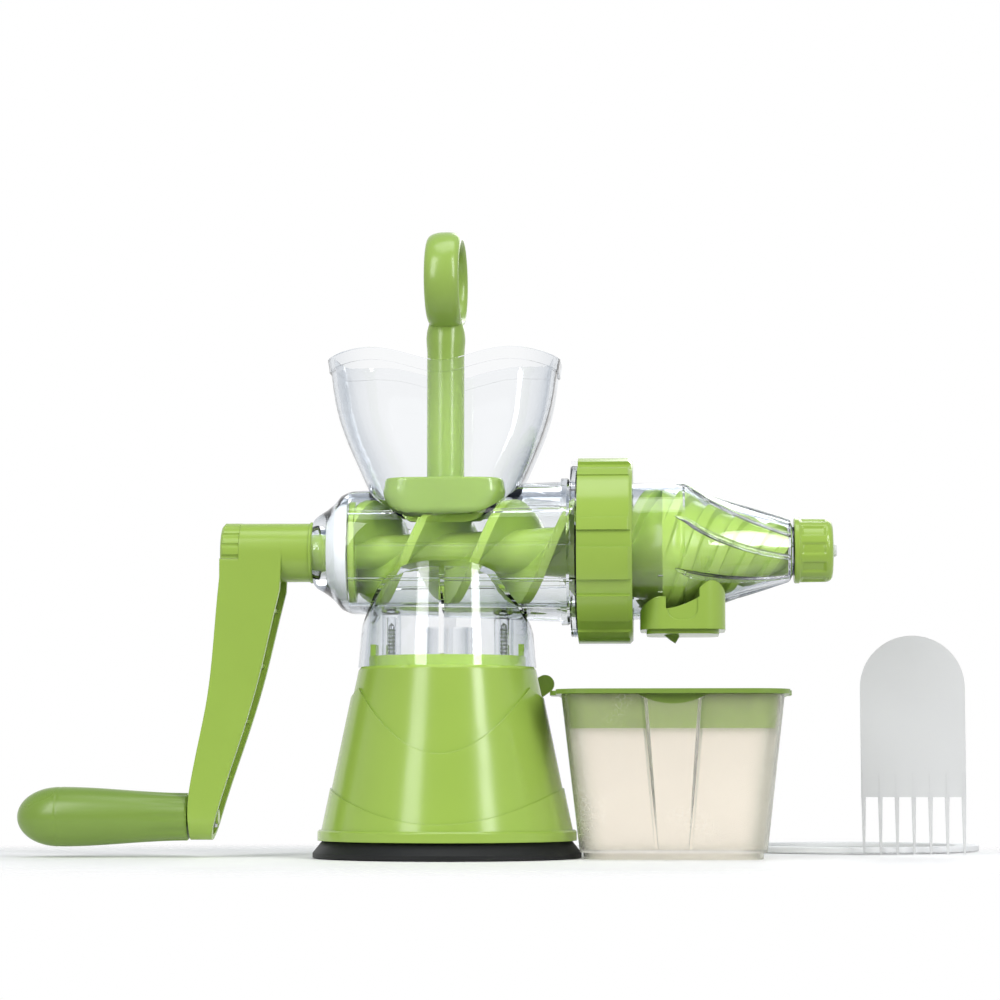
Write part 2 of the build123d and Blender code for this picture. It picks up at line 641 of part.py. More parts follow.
def clear_body():
    """Neck, barrel and hopper in one clear moulding."""
    rim_region = below_rim(0) - below_rim(HOPPER_BAND_H)
    hopper = (hopper_solid(0) & below_rim(0)) + (hopper_solid(-HOPPER_BAND_PROUD) & rim_region)
    outside = barrel_solid()
    neck_room = neck_solid(NECK_WALL, NECK_SEAT_H - 1) - outside
    columns = block(-1.2, 1.2, -NECK_FOOT_R, NECK_FOOT_R, COUPLING_TOP_H + SLIDE_GAP, NECK_TOP_H)
    for side in (-1, 1):
        columns += rod_z(COUPLING_TOP_H + SEAT_GAP, NECK_TOP_H, BOSS_R, side * BODY_SCREW_X)
    cup = rod_z(COUPLING_TOP_H + SLIDE_GAP, COUPLING_TOP_H + 14, 12.2) - rod_z(0, NECK_TOP_H, 10.0)
    body = outside + neck_solid(0, NECK_SEAT_H) + hopper
    body = body - neck_room + ((columns + cup) & neck_room)
    body -= hopper_solid(HOPPER_WALL) - rod_x(END_BOSS_X, NOSE_X1, BORE_R - 0.5)
    body -= bore_cutter()
    for side in (-1, 1):
        body -= rod_z(NECK_SEAT_H - 1, SHELL_TOP_H + BODY_SCREW_L, SCREW_R + SCREW_GAP, side * BODY_SCREW_X)
    bore_ribs = None
    for k in range(BORE_RIBS):
        wide = math.degrees(BORE_RIB_W / BORE_R)
        turn = BORE_RIB_START_DEG + 360 / BORE_RIBS * k
        rib = sector_x(BARREL_X0, BARREL_FLANGE_X1 - 2, RIB_TIP_R, BORE_R + 0.6, turn, wide)
        bore_ribs = rib if bore_ribs is None else bore_ribs + rib
    body += bore_ribs - hopper_solid(HOPPER_WALL)
    for k in range(3):
        turn = COLLAR_TURN_DEG + 120 * k
        body += sector_x(NOSE_X1 - 6 - LUG_T, NOSE_X1 - 6, NOSE_R - 1, LUG_R, turn, LUG_DEG)
        body += sector_x(
            BARREL_X1, BARREL_FLANGE_X1, BARREL_FLANGE_R - 1, BARREL_FLANGE_R + 2.4, turn + 57, 16)
    return body


# ---------------------------------------------------------------- auger
def between(x, stations):
    """Value at x, by straight lines between (x, value) stations."""
    for (xa, va), (xb, vb) in zip(stations, stations[1:]):
        if x <= xb:
            return va + (vb - va) * max(0.0, (x - xa) / (xb - xa))
    return stations[-1][1]


def cone_radius(x):
    """Outside radius of the strainer cone at a place along X."""
    return between(x, [(CONE_SHOULDER_X, CONE_R), *CONE_TAPER])


def shaft_seal():
    """Bush with a sloping shoulder, around the auger's shaft."""
    return turned_x([
        (SEAL_X0, SHAFT_R + RUN_FIT), (SEAL_X0, SEAL_R - 5.0), (SEAL_X0 + 4.6, SEAL_R - 0.5),
        (BARREL_X0 - 0.3, SEAL_R), (BARREL_X0 + 0.2, SEAL_R - 0.8), (BARREL_X0 + 0.2, SHAFT_R + RUN_FIT),
    ])


def screw(x0, x1, lead, starts, land_deg, ramp_deg, core, edge):
    """Left-handed screw with its core, lofted through slices that turn along X.

    Each slice is the core circle with one raised land for each start.
    core and edge are (x, radius) stations of the core and of the flights' edge.
    """
    count = round((x1 - x0) / SCREW_SLICE)
    land = math.radians(land_deg / 2)
    foot = land + math.radians(ramp_deg)
    step = 2 * math.pi / starts
    slices = []
    for k in range(count + 1):
        x = x0 + (x1 - x0) * k / count
        turn = 2 * math.pi * (x0 - x) / lead
        r_core = between(x, core)
        r_edge = between(x, edge)

        def at(r, angle):
            return (r * math.cos(angle + turn), r * math.sin(angle + turn))

        outline = []
        for n in range(starts):
            mid = step * n
            outline += [
                ThreePointArc(at(r_edge, mid - land), at(r_edge, mid), at(r_edge, mid + land)),
                Line(at(r_edge, mid + land), at(r_core, mid + foot)),
                ThreePointArc(at(r_core, mid + foot), at(r_core, mid + step / 2), at(r_core, mid + step - foot)),
                Line(at(r_core, mid + step - foot), at(r_edge, mid + step - land)),
            ]
        slices.append(Plane((x, 0, AXIS_H), x_dir=(0, 1, 0), z_dir=(1, 0, 0)) * make_face(outline))
    return loft(slices)


def auger():
    """Screw with its drive square, thrust disc, coarse feed flights and shallow flights on its taper."""
    thrust_x0 = BARREL_X0 + 0.5
    shaft = turned_x([
        (DRIVE_X1, 0), (DRIVE_X1, SHAFT_R - 0.8), (DRIVE_X1 + 0.8, SHAFT_R), (thrust_x0, SHAFT_R),
        (thrust_x0, THRUST_R), (thrust_x0 + THRUST_T, THRUST_R), (thrust_x0 + THRUST_T, 0),
    ])
    half = DRIVE_FLAT / 2
    square = block(DRIVE_X0, DRIVE_X1 + 1, -half, half, AXIS_H - half, AXIS_H + half)
    feed = screw(
        thrust_x0 + THRUST_T, PRESS_X0 + 1, FEED_LEAD, FEED_STARTS, FEED_LAND_DEG, FEED_RAMP_DEG, FEED_CORE, FEED_EDGE)
    press_edge = [(x, r - CONE_WALL - AUGER_GAP) for x, r in [(CONE_SHOULDER_X - 2, CONE_R), *CONE_TAPER]]
    press_core = [(x, r - PRESS_DEPTH) for x, r in press_edge]
    press = screw(
        PRESS_X0, PRESS_X1, PRESS_LEAD, PRESS_STARTS, PRESS_LAND_DEG, PRESS_RAMP_DEG, press_core, press_edge)
    whole = shaft + square + feed + press
    return whole - rod_x(DRIVE_X0 - 1, DRIVE_X0 + STUD_L - 8, STUD_R + SEAT_GAP)


def drive_stud():
    """Threaded stud, set in the auger's drive end."""
    x0 = NUT_X0 + 2.5
    x1 = DRIVE_X0 + STUD_L - 8.5
    stud = rod_x(x0, x1, STUD_R - 0.35)
    x = x0 + 0.8
    while x < x1 - 1.2:
        stud += turned_x([
            (x, 0), (x, STUD_R - 0.4), (x + 0.45, STUD_R), (x + 0.9, STUD_R - 0.4), (x + 0.9, 0)])
        x += 1.25
    return stud


# ---------------------------------------------------------------- strainer cone
def cone_gasket():
    """Seal ring between the nose and the cone's flange."""
    ring = rod_x(NOSE_X1, NOSE_X1 + GASKET_T, GASKET_R1)
    return ring - rod_x(NOSE_X1 - 1, NOSE_X1 + GASKET_T + 1, GASKET_R0)


def strainer_cone():
    """Clear cone with a flange, twisted ribs, a neck for the cap and strainer slots underneath."""
    x0 = NOSE_X1 + GASKET_T
    x_neck, r_neck = CONE_TAPER[-1]
    outer = [
        Polyline((x0, 0), (x0, CONE_FLANGE_R), (x0 + CONE_FLANGE_T, CONE_FLANGE_R),
                 (x0 + CONE_FLANGE_T, CONE_R), (CONE_SHOULDER_X, CONE_R)),
        Spline((CONE_SHOULDER_X, CONE_R), *CONE_TAPER),
        Polyline((x_neck, r_neck), (x_neck + 1.2, CONE_NECK_R), (CONE_NECK_X1, CONE_NECK_R),
                 (CONE_NECK_X1, 0), (x0, 0)),
    ]
    taper_in = [(x, r - CONE_WALL) for x, r in CONE_TAPER]
    inner = [
        Polyline((x0 - 1, 0), (x0 - 1, CONE_R - CONE_WALL), (CONE_SHOULDER_X - 1, CONE_R - CONE_WALL)),
        Spline((CONE_SHOULDER_X - 1, CONE_R - CONE_WALL), *taper_in),
        Polyline(taper_in[-1], (x_neck + 2.0, CONE_NECK_BORE_R), (CONE_NECK_X1 + 1, CONE_NECK_BORE_R),
                 (CONE_NECK_X1 + 1, 0), (x0 - 1, 0)),
    ]
    cone = turned_edges_x(outer)
    for k in range(CONE_RIBS):
        cone += cone_rib(360 / CONE_RIBS * (k + 0.5))
    for x, low, high in ((SPOUT_PANEL_X0 - 3.6, 24, 38), (SPOUT_PANEL_X1 + 2.6, 10, 24)):
        r = cone_radius(x + HOOK_T)
        for mid in (-(low + high) / 2, 180 + (low + high) / 2):
            cone += sector_x(x, x + HOOK_T, r - 1.5, r + 2.2, mid, high - low)
    cone -= turned_edges_x(inner)
    for k in range(SLOT_COUNT):
        turn = SLOT_PITCH_DEG * (k - (SLOT_COUNT - 1) / 2)
        slot = block(SLOT_X0, SLOT_X0 + SLOT_L, -SLOT_W / 2, SLOT_W / 2, -CONE_R - 2, -CONE_R + CONE_WALL + 2)
        cone -= Pos(0, 0, AXIS_H) * Rot(turn, 0, 0) * slot
    return cone


def cone_rib(start_deg):
    """Round rib on the taper that twists from the wide end to the narrow one."""
    stations = [(CONE_SHOULDER_X, CONE_R), *CONE_TAPER]
    x_first, x_last = stations[0][0], stations[-1][0]
    places = []
    for x, r in stations:
        turn = math.radians(start_deg - CONE_RIB_TWIST_DEG * (x - x_first) / (x_last - x_first))
        sunk = r - CONE_RIB_W / 2 + CONE_RIB_PROUD - 0.25
        places.append((x, -sunk * math.cos(turn), AXIS_H + sunk * math.sin(turn)))
    path = Spline(*places)
    return sweep(Plane(path @ 0, z_dir=path % 0) * Circle(CONE_RIB_W / 2), path)


# ---------------------------------------------------------------- collar, cap and valve
def collar():
    """Ring nut with three wide lugs, six pads and three bayonet lugs inside."""
    lip_x = NOSE_X1 + GASKET_T + CONE_FLANGE_T + SLIDE_GAP
    ring = rod_x(COLLAR_X0, COLLAR_X1, COLLAR_R - COLLAR_RECESS)
    for k in range(3):
        mid = COLLAR_TURN_DEG + 120 * k
        rib_mid = (COLLAR_FLAT_DEG + COLLAR_RIB_DEG) / 2
        pad_mid = COLLAR_FLAT_DEG / 2 + COLLAR_RIB_DEG + COLLAR_GAP_DEG + COLLAR_PAD_DEG / 2
        r_in = COLLAR_R - COLLAR_RECESS - 2
        ring += sector_x(COLLAR_X0, COLLAR_X1, r_in, COLLAR_R - 0.6, mid, COLLAR_FLAT_DEG)
        for turn, wide in ((rib_mid, COLLAR_RIB_DEG), (-rib_mid, COLLAR_RIB_DEG),
                           (-pad_mid, COLLAR_PAD_DEG), (-pad_mid - COLLAR_PAD_DEG - COLLAR_GAP_DEG, COLLAR_PAD_DEG)):
            ring += sector_x(COLLAR_X0, COLLAR_X1, r_in, COLLAR_R, mid + turn, wide)
    corner = turned_x([
        (COLLAR_X1 - 2.2, COLLAR_R + 1), (COLLAR_X1 - 2.2, COLLAR_R + 0.2), (COLLAR_X1 + 0.2, COLLAR_R - 2.2),
        (COLLAR_X1 + 1, COLLAR_R - 2.2), (COLLAR_X1 + 1, COLLAR_R + 1),
    ])
    ring -= corner
    ring -= rod_x(COLLAR_X0 - 1, lip_x, COLLAR_BORE_R)
    ring -= rod_x(COLLAR_X0 - 1, COLLAR_X1 + 1, COLLAR_LIP_R)
    lug_x1 = NOSE_X1 - 6 - LUG_T - SLIDE_GAP
    for k in range(3):
        ring += sector_x(COLLAR_X0 + SLIDE_GAP, lug_x1, NOSE_R + SLIDE_GAP + 0.2, COLLAR_BORE_R + 1,
                         COLLAR_TURN_DEG + 120 * k, LUG_DEG)
    return ring


def end_cap():
    """Fluted cap over the cone's neck."""
    cap = turned_x([
        (CAP_X0, 0), (CAP_X0, CAP_FLANGE_R), (CAP_X0 + CAP_FLANGE_T, CAP_FLANGE_R),
        (CAP_X0 + CAP_FLANGE_T, CAP_R),
        (CAP_X1 - 3.0, CAP_R), (CAP_X1 - 0.9, CAP_R - 0.9), (CAP_X1, CAP_R - 3.0), (CAP_X1, 0),
    ])
    pitch = 360 / CAP_FLUTES
    for k in range(CAP_FLUTES):
        cap -= sector_x(
            CAP_X0 + CAP_FLANGE_T, CAP_X1 - 4.5, CAP_R - 0.9, CAP_R + 1, pitch * (k + 0.5), pitch * 0.66)
    room_x1 = CAP_X1 - CAP_END_WALL
    cap -= rod_x(CAP_X0 - 1, room_x1, CONE_NECK_R + SLIDE_GAP)
    return cap - rod_x(room_x1 - 1, CAP_X1 + 1, VALVE_R + SEAT_GAP)


def pressure_valve():
    """Soft plug in the cap's end hole, with a flange inside the cap."""
    flange_x1 = CAP_X1 - CAP_END_WALL
    return turned_x([
        (flange_x1 - 2.6, 0), (flange_x1 - 2.6, VALVE_FLANGE_R - 0.6), (flange_x1 - 2.0, VALVE_FLANGE_R),
        (flange_x1, VALVE_FLANGE_R), (flange_x1, VALVE_R), (CAP_X1 + VALVE_PROUD - 0.6, VALVE_R),
        (CAP_X1 + VALVE_PROUD, VALVE_R - 0.6), (CAP_X1 + VALVE_PROUD, 0),
    ])


# ---------------------------------------------------------------- juice spout
def juice_spout():
    """Tray under the strainer slots, with a raised tower, recessed panels and a tilted chute."""
    mid_x = (SPOUT_X0 + SPOUT_X1) / 2
    long = SPOUT_X1 - SPOUT_X0
    plan = Pos(mid_x, 0, SPOUT_BOTTOM_H) * RectangleRounded(long, 2 * SPOUT_HALF_Y, SPOUT_CORNER_R)
    inner_plan = Pos(mid_x, 0, SPOUT_BOTTOM_H) * RectangleRounded(
        long - 2 * SPOUT_WALL, 2 * (SPOUT_HALF_Y - SPOUT_WALL), SPOUT_CORNER_R - SPOUT_WALL)
    top_edge = [
        Line((SPOUT_X0 - 1, SPOUT_BOTTOM_H - 1), (SPOUT_X0 - 1, SPOUT_LEFT_H - 4)),
        Spline(
            (SPOUT_X0 - 1, SPOUT_LEFT_H - 4), (SPOUT_X0 + 4, SPOUT_LEFT_H - 0.8), (SPOUT_PANEL_X0, SPOUT_LEFT_H)),
        Line((SPOUT_PANEL_X0, SPOUT_LEFT_H), (SPOUT_PANEL_X0, SPOUT_LEFT_H - 5.5)),
        Bezier((SPOUT_PANEL_X0, SPOUT_LEFT_H - 5.5), (SPOUT_PANEL_X0 + 7, SPOUT_LEFT_H - 5.0),
               (SPOUT_PANEL_X1, SPOUT_LEFT_H)),
        Line((SPOUT_PANEL_X1, SPOUT_LEFT_H), (SPOUT_PANEL_X1, SPOUT_TOWER_H - 6)),
        Spline(
            (SPOUT_PANEL_X1, SPOUT_TOWER_H - 6), (SPOUT_X1 - 5, SPOUT_TOWER_H), (SPOUT_X1 + 1, SPOUT_TOWER_H - 6)),
        Polyline((SPOUT_X1 + 1, SPOUT_TOWER_H - 6), (SPOUT_X1 + 1, SPOUT_BOTTOM_H - 1),
                 (SPOUT_X0 - 1, SPOUT_BOTTOM_H - 1)),
    ]
    spout = extrude(plan, SPOUT_TOWER_H - SPOUT_BOTTOM_H)
    spout &= plate_from(top_edge, -SPOUT_HALF_Y - 1, SPOUT_HALF_Y + 1)
    spout -= Pos(0, 0, SPOUT_WALL) * extrude(inner_plan, SPOUT_TOWER_H)
    panel = [
        FilletPolyline((SPOUT_PANEL_X0 + 0.8, SPOUT_TOWER_H), (SPOUT_PANEL_X0 + 0.8, SPOUT_PANEL_LOW_H),
                       (SPOUT_PANEL_X1 - 0.8, SPOUT_PANEL_LOW_H), (SPOUT_PANEL_X1 - 0.8, SPOUT_TOWER_H), radius=5.5),
        Line((SPOUT_PANEL_X1 - 0.8, SPOUT_TOWER_H), (SPOUT_PANEL_X0 + 0.8, SPOUT_TOWER_H)),
    ]
    for side in (-1, 1):
        face_y = side * SPOUT_HALF_Y
        panel_ys = (face_y - side * 0.7, face_y + side)
        spout -= plate_from(panel, min(panel_ys), max(panel_ys))
    lip = Pos(mid_x, 0, SPOUT_BOTTOM_H - SPOUT_LIP_T) * RectangleRounded(
        long - 6, 2 * SPOUT_HALF_Y - 6, SPOUT_CORNER_R - 3)
    spout += extrude(lip, SPOUT_LIP_T)
    spout += plate_xz([
        (CHUTE_TIP_X - 8.5, SPOUT_BOTTOM_H), (CHUTE_TIP_X - 0.5, SPOUT_BOTTOM_H),
        (CHUTE_TIP_X + 2.0, CHUTE_TIP_H + 3.2), (CHUTE_TIP_X, CHUTE_TIP_H),
    ], -CHUTE_W / 2, CHUTE_W / 2)
    spout -= plate_xz([
        (CHUTE_TIP_X - 6.0, SPOUT_BOTTOM_H + SPOUT_WALL + 0.1),
        (CHUTE_TIP_X - 1.5, SPOUT_BOTTOM_H + SPOUT_WALL + 0.1),
        (CHUTE_TIP_X + 3.4, CHUTE_TIP_H + 1.0), (CHUTE_TIP_X - 1.6, CHUTE_TIP_H - 1.0),
    ], -CHUTE_W / 2 + 1.5, CHUTE_W / 2 - 1.5)
    rib_room = CONE_RIB_PROUD + 2 * SLIDE_GAP
    room = turned_x([
        (SPOUT_X0 - 2, 0), (SPOUT_X0 - 2, CONE_R + SLIDE_GAP), (CONE_SHOULDER_X - 2, CONE_R + SLIDE_GAP),
        (CONE_SHOULDER_X, CONE_R + rib_room), *[(x, r + rib_room) for x, r in CONE_TAPER[:2]],
        (CONE_TAPER[1][0], 0),
    ])
    return spout - room


# ---------------------------------------------------------------- crank
GRIP_H = AXIS_H - CRANK_R
# side view of the arm: its outer edge and its open inner edge, as (x, z) from the top down
ARM_OUTER_EDGE = [(-108.4, AXIS_H), (-108.4, 133.0), (-110.6, 108.0), (-114.2, 74.0), (-117.6, 56.5),
                  (-121.2, 38.5), (-122.8, 28.0)]
ARM_INNER_EDGE = [
    (-78.6, AXIS_H), (-79.4, 127.0), (-83.0, 112.0), (-89.3, 85.0), (-97.2, 58.0), (-105.8, 32.0)]
ARM_X0 = -122.8
ARM_FOOT_X = -112.8


def arm_side(shift, extra):
    """Side view of the arm, moved by shift along X and widened by extra on its open side."""
    low = GRIP_H - ARM_END_R - 1
    high = AXIS_H + HUB_R + 1
    outer = [(x + shift, z) for x, z in ARM_OUTER_EDGE]
    inner = [(x + extra, z) for x, z in ARM_INNER_EDGE]
    edge = [
        Line((outer[0][0], high), outer[0]),
        Line(outer[0], outer[1]),
        Spline(*outer[1:], (ARM_X0 + shift, GRIP_H - 4)),
        Line((ARM_X0 + shift, GRIP_H - 4), (ARM_X0 + shift, low)),
        Line((ARM_X0 + shift, low), (ARM_FOOT_X + extra, low)),
        Spline((ARM_FOOT_X + extra, low), *reversed(inner[1:])),
        Line(inner[1], inner[0]),
        Line(inner[0], (inner[0][0], high)),
        Line((inner[0][0], high), (outer[0][0], high)),
    ]
    return plate_from(edge, -ARM_TOP_HALF_Y - 1, ARM_TOP_HALF_Y + 1)


def arm_front(inset):
    """Front view of the arm: two rounds joined by straight flanks, smaller by inset."""
    top_r = ARM_TOP_HALF_Y - inset
    end_r = ARM_END_R - inset
    lean = math.asin((top_r - end_r) / CRANK_R)
    flank = [
        (-top_r * math.cos(lean), AXIS_H - top_r * math.sin(lean)),
        (top_r * math.cos(lean), AXIS_H - top_r * math.sin(lean)),
        (end_r * math.cos(lean), GRIP_H - end_r * math.sin(lean)),
        (-end_r * math.cos(lean), GRIP_H - end_r * math.sin(lean)),
    ]
    view = Plane((ARM_X0 - 1, 0, 0), x_dir=(0, 1, 0), z_dir=(1, 0, 0))
    bar = extrude(view * make_face(Polyline(flank, close=True)), -ARM_X0)
    return bar + rod_x(ARM_X0 - 1, -1, top_r) + rod_x(ARM_X0 - 1, -1, end_r, GRIP_H)


def crank_arm():
    """Channel-shaped arm, open towards the barrel, with ribs, a hub and a boss for the grip's axle."""
    arm = arm_side(0, 0) & arm_front(0)
    room = arm_side(ARM_WEB_T, 20) & arm_front(ARM_WALL)
    ribs = None
    z = AXIS_H - HUB_R - ARM_RIB_PITCH * 0.55
    while z > GRIP_H + ARM_END_R + 6:
        rib = block(ARM_X0, -70, -ARM_TOP_HALF_Y, ARM_TOP_HALF_Y, z, z + ARM_RIB_T)
        ribs = rib if ribs is None else ribs + rib
        z -= ARM_RIB_PITCH
    ribs = ribs & arm_side(1, -1.5) & arm_front(1)
    arm = arm - room + ribs
    arm += rod_x(ARM_X0 + 1, ARM_X0 + 7.5, AXLE_R + 3.0, GRIP_H) & arm_front(0.5)
    hub = rod_x(HUB_X0, HUB_X1, HUB_R)
    arm += hub + rod_x(HUB_X1 - 1.6, HUB_X1 - 0.4, HUB_R + 0.6)
    arm -= rod_x(ARM_X0, HUB_X0, NUT_R + SLIDE_GAP)
    half = DRIVE_FLAT / 2 + SEAT_GAP
    arm -= block(DRIVE_X0 - SLIDE_GAP, DRIVE_X1 + 0.4, -half, half, AXIS_H - half, AXIS_H + half)
    arm -= rod_x(DRIVE_X1 - 0.2, HUB_X1 + 1, SHAFT_R + SEAT_GAP)
    arm -= rod_x(HUB_X0 - 1, DRIVE_X0 + 1, STUD_R + SLIDE_GAP)
    return arm - rod_x(ARM_X0 - 1, ARM_X0 + 9, AXLE_R - 0.5, GRIP_H)


def crank_nut():
    """Fluted nut on the stud, outside the hub."""
    nut = turned_x([
        (NUT_X0, 0), (NUT_X0, NUT_R - 1.2), (NUT_X0 + 1.2, NUT_R),
        (HUB_X0 - SEAT_GAP, NUT_R), (HUB_X0 - SEAT_GAP, 0)])
    for k in range(NUT_FLUTES):
        turn = 2 * math.pi / NUT_FLUTES * (k + 0.5)
        far = NUT_R + 0.55
        nut -= rod_x(NUT_X0 - 1, HUB_X0 + 1, 1.25, AXIS_H + far * math.sin(turn), far * math.cos(turn))
    return nut - rod_x(NUT_X0 + 2.0, HUB_X0 + 1, STUD_R + SEAT_GAP)


def grip():
    """Turning handle with a domed end, and a hollow behind a lip that holds the axle's head."""
    outline = [
        Line((GRIP_X1, 0), (GRIP_X1, GRIP_END_R - 1.0)),
        Line((GRIP_X1, GRIP_END_R - 1.0), (GRIP_X1 - 1.0, GRIP_END_R)),
        Spline((GRIP_X1 - 1.0, GRIP_END_R), (GRIP_X1 - 24, GRIP_END_R + 0.75),
               (GRIP_MAX_X + 22, GRIP_MAX_R - 0.85), (GRIP_MAX_X, GRIP_MAX_R),
               (GRIP_X0 + 9.5, GRIP_MAX_R - 2.0), (GRIP_X0 + 2.6, GRIP_MAX_R - 7.0), (GRIP_X0, 0),
               tangents=((-1, 0), (0, -1))),
        Line((GRIP_X0, 0), (GRIP_X1, 0)),
    ]
    handle = turned_edges_x(outline, GRIP_H)
    lip_x = GRIP_X1 - AXLE_IN_GRIP
    handle -= rod_x(lip_x - 1, GRIP_X1 + 1, AXLE_R + RUN_FIT, GRIP_H)
    return handle - rod_x(lip_x - AXLE_HEAD_T - 2.0, lip_x, AXLE_HEAD_R + SLIDE_GAP, GRIP_H)


def grip_axle():
    """Axle fixed in the arm's boss, with a snap head inside the grip."""
    head_x = GRIP_X1 - AXLE_IN_GRIP - SLIDE_GAP
    return turned_x([
        (head_x - AXLE_HEAD_T, 0), (head_x - AXLE_HEAD_T, AXLE_R - 0.6), (head_x - 1.2, AXLE_HEAD_R),
        (head_x, AXLE_HEAD_R), (head_x, AXLE_R), (ARM_X0 - SLIDE_GAP, AXLE_R),
        (ARM_X0 - SLIDE_GAP, AXLE_R - 0.5 - SEAT_GAP),
        (ARM_X0 + 7.5 + AXLE_NUT_T + 1.2, AXLE_R - 0.5 - SEAT_GAP), (ARM_X0 + 7.5 + AXLE_NUT_T + 1.2, 0),
    ], GRIP_H)


def axle_nut():
    """Hexagon nut on the axle's end, in the arm's channel."""
    x0 = ARM_X0 + 7.5 + SEAT_GAP
    hexagon = RegularPolygon(AXLE_NUT_AF / 2, 6, major_radius=False)
    nut = Plane((x0, 0, GRIP_H), x_dir=(0, 1, 0), z_dir=(1, 0, 0)) * extrude(hexagon, AXLE_NUT_T)
    return nut - rod_x(x0 - 1, x0 + AXLE_NUT_T + 1, AXLE_R - 0.5, GRIP_H)


# ---------------------------------------------------------------- pusher
def pusher():
    """Finger ring, rod and saddle-shaped pad in one moulding."""
    ring_mid_h = RING_TOP_H - RING_OUTER_H / 2
    ring_r = RING_OUTER_H / 2
    ring = rod_x(-RING_BAND_W / 2, RING_BAND_W / 2, ring_r, ring_mid_h)
    ring -= rod_x(-RING_BAND_W, RING_BAND_W, ring_r - RING_T, ring_mid_h)
    ring = fillet(ring.edges().filter_by(GeomType.CIRCLE), RING_T * 0.42)
    ring = Pos(PUSHER_X, 0, 0) * Rot(0, 0, RING_TURN_DEG) * ring
    rod = rod_z(PAD_TOP_H - 1, ROD_TOP_H + 2.5, ROD_R, PUSHER_X)
    edge = FilletPolyline(
        (-PAD_HALF_X, PAD_TOP_H), (-PAD_HALF_X - 1.2, PAD_TOP_H - 8), (-PAD_HALF_X + 6.5, PAD_LOW_H),
        (PAD_HALF_X - 6.5, PAD_LOW_H), (PAD_HALF_X + 1.2, PAD_TOP_H - 8), (PAD_HALF_X, PAD_TOP_H),
        radius=3.0, close=True)
    pad = Pos(PUSHER_X, 0, 0) * plate_from(edge, -PAD_HALF_Y, PAD_HALF_Y)
    corner = RectangleRounded(2 * PAD_HALF_X + 3, 2 * PAD_HALF_Y, 9)
    pad &= extrude(Pos(PUSHER_X, 0, PAD_LOW_H - 1) * corner, PAD_TOP_H)
    return ring + rod + pad - rod_x(-60, 60, PAD_AUGER_R)


# ---------------------------------------------------------------- cup and its strainer
def cup_loft(low_h, top_h, inset):
    """Tapered box with round corners between two heights, smaller all round by inset."""
    def half(z):
        share = z / CUP_H
        return (CUP_BOTTOM_HALF_X + share * (CUP_TOP_HALF_X - CUP_BOTTOM_HALF_X),
                CUP_BOTTOM_HALF_Y + share * (CUP_TOP_HALF_Y - CUP_BOTTOM_HALF_Y))
    return rounded_loft([(z, *half(z), CUP_CORNER_R) for z in (low_h, top_h)], CUP_MID_X, inset)


def pour_channel(inset, top_h):
    """Bulge at the front of the cup that grows upwards into its pouring lip."""
    faces = []
    for z, half, y, proud in ((CUP_FLOOR_H, POUR_BOTTOM_HALF, CUP_BOTTOM_HALF_Y, 0.8),
                              (top_h, POUR_TOP_HALF, CUP_TOP_HALF_Y, POUR_PROUD)):
        back, front = -y + 3.0, -y - proud + inset
        wide, narrow = half - inset, half - 2.6 - inset
        corners = [(-wide, back), (-narrow, front), (narrow, front), (wide, back)]
        faces.append(Pos(CUP_MID_X, 0, z) * make_face(Polyline(corners, close=True)))
    return loft(faces)


def juice_cup():
    """Tapered cup with a foot ring and a pouring channel."""
    cup = cup_loft(CUP_FLOOR_H - CUP_WALL, CUP_H, 0) + pour_channel(0, CUP_H)
    cup -= cup_loft(CUP_FLOOR_H, CUP_H + 1, CUP_WALL) + pour_channel(CUP_WALL, CUP_H + 1)
    foot = cup_loft(0, CUP_FLOOR_H - CUP_WALL, CUP_RING_INSET)
    cup += foot - cup_loft(-1, CUP_FLOOR_H - CUP_WALL + 1, CUP_RING_INSET + CUP_WALL)
    dip_r = (POUR_TOP_HALF ** 2 + POUR_DIP ** 2) / (2 * POUR_DIP)
    dip = rod_y(
        -CUP_TOP_HALF_Y - POUR_PROUD - 2, -CUP_TOP_HALF_Y + 4, dip_r, CUP_MID_X, CUP_H + dip_r - POUR_DIP)
    return cup - dip


def cup_strainer():
    """Lid tray that hangs in the cup, with two finger tabs and slots in its floor."""
    plate_h = CUP_H + SLIDE_GAP
    top_h = plate_h + LID_T
    plan = Pos(CUP_MID_X, 0, plate_h) * RectangleRounded(
        2 * (CUP_TOP_HALF_X + LID_OVERHANG), 2 * (CUP_TOP_HALF_Y + LID_OVERHANG), CUP_CORNER_R + LID_OVERHANG)
    tab = Pos((LID_TAB_X0 + LID_TAB_X1) / 2, 0, plate_h) * RectangleRounded(
        LID_TAB_X1 - LID_TAB_X0, 2 * LID_TAB_HALF_Y, 5.0)
    lid = extrude(plan, LID_T) + extrude(tab, LID_T)
    skirt_inset = CUP_WALL + TRAY_GAP
    floor_h = top_h - TRAY_DEPTH
    lid += cup_loft(floor_h, plate_h + 0.5, skirt_inset)
    lid -= cup_loft(floor_h + TRAY_WALL, top_h + 1, skirt_inset + TRAY_WALL)
    slot_half_y = CUP_BOTTOM_HALF_Y - CUP_CORNER_R + 8
    pitch = 2 * (CUP_BOTTOM_HALF_X - 6) / (TRAY_SLOTS - 1)
    for k in range(TRAY_SLOTS):
        x = CUP_MID_X + pitch * (k - (TRAY_SLOTS - 1) / 2)
        lid -= block(
            x - TRAY_SLOT_W / 2, x + TRAY_SLOT_W / 2, -slot_half_y, slot_half_y,
            floor_h - 1, floor_h + TRAY_WALL + 1)
    return lid


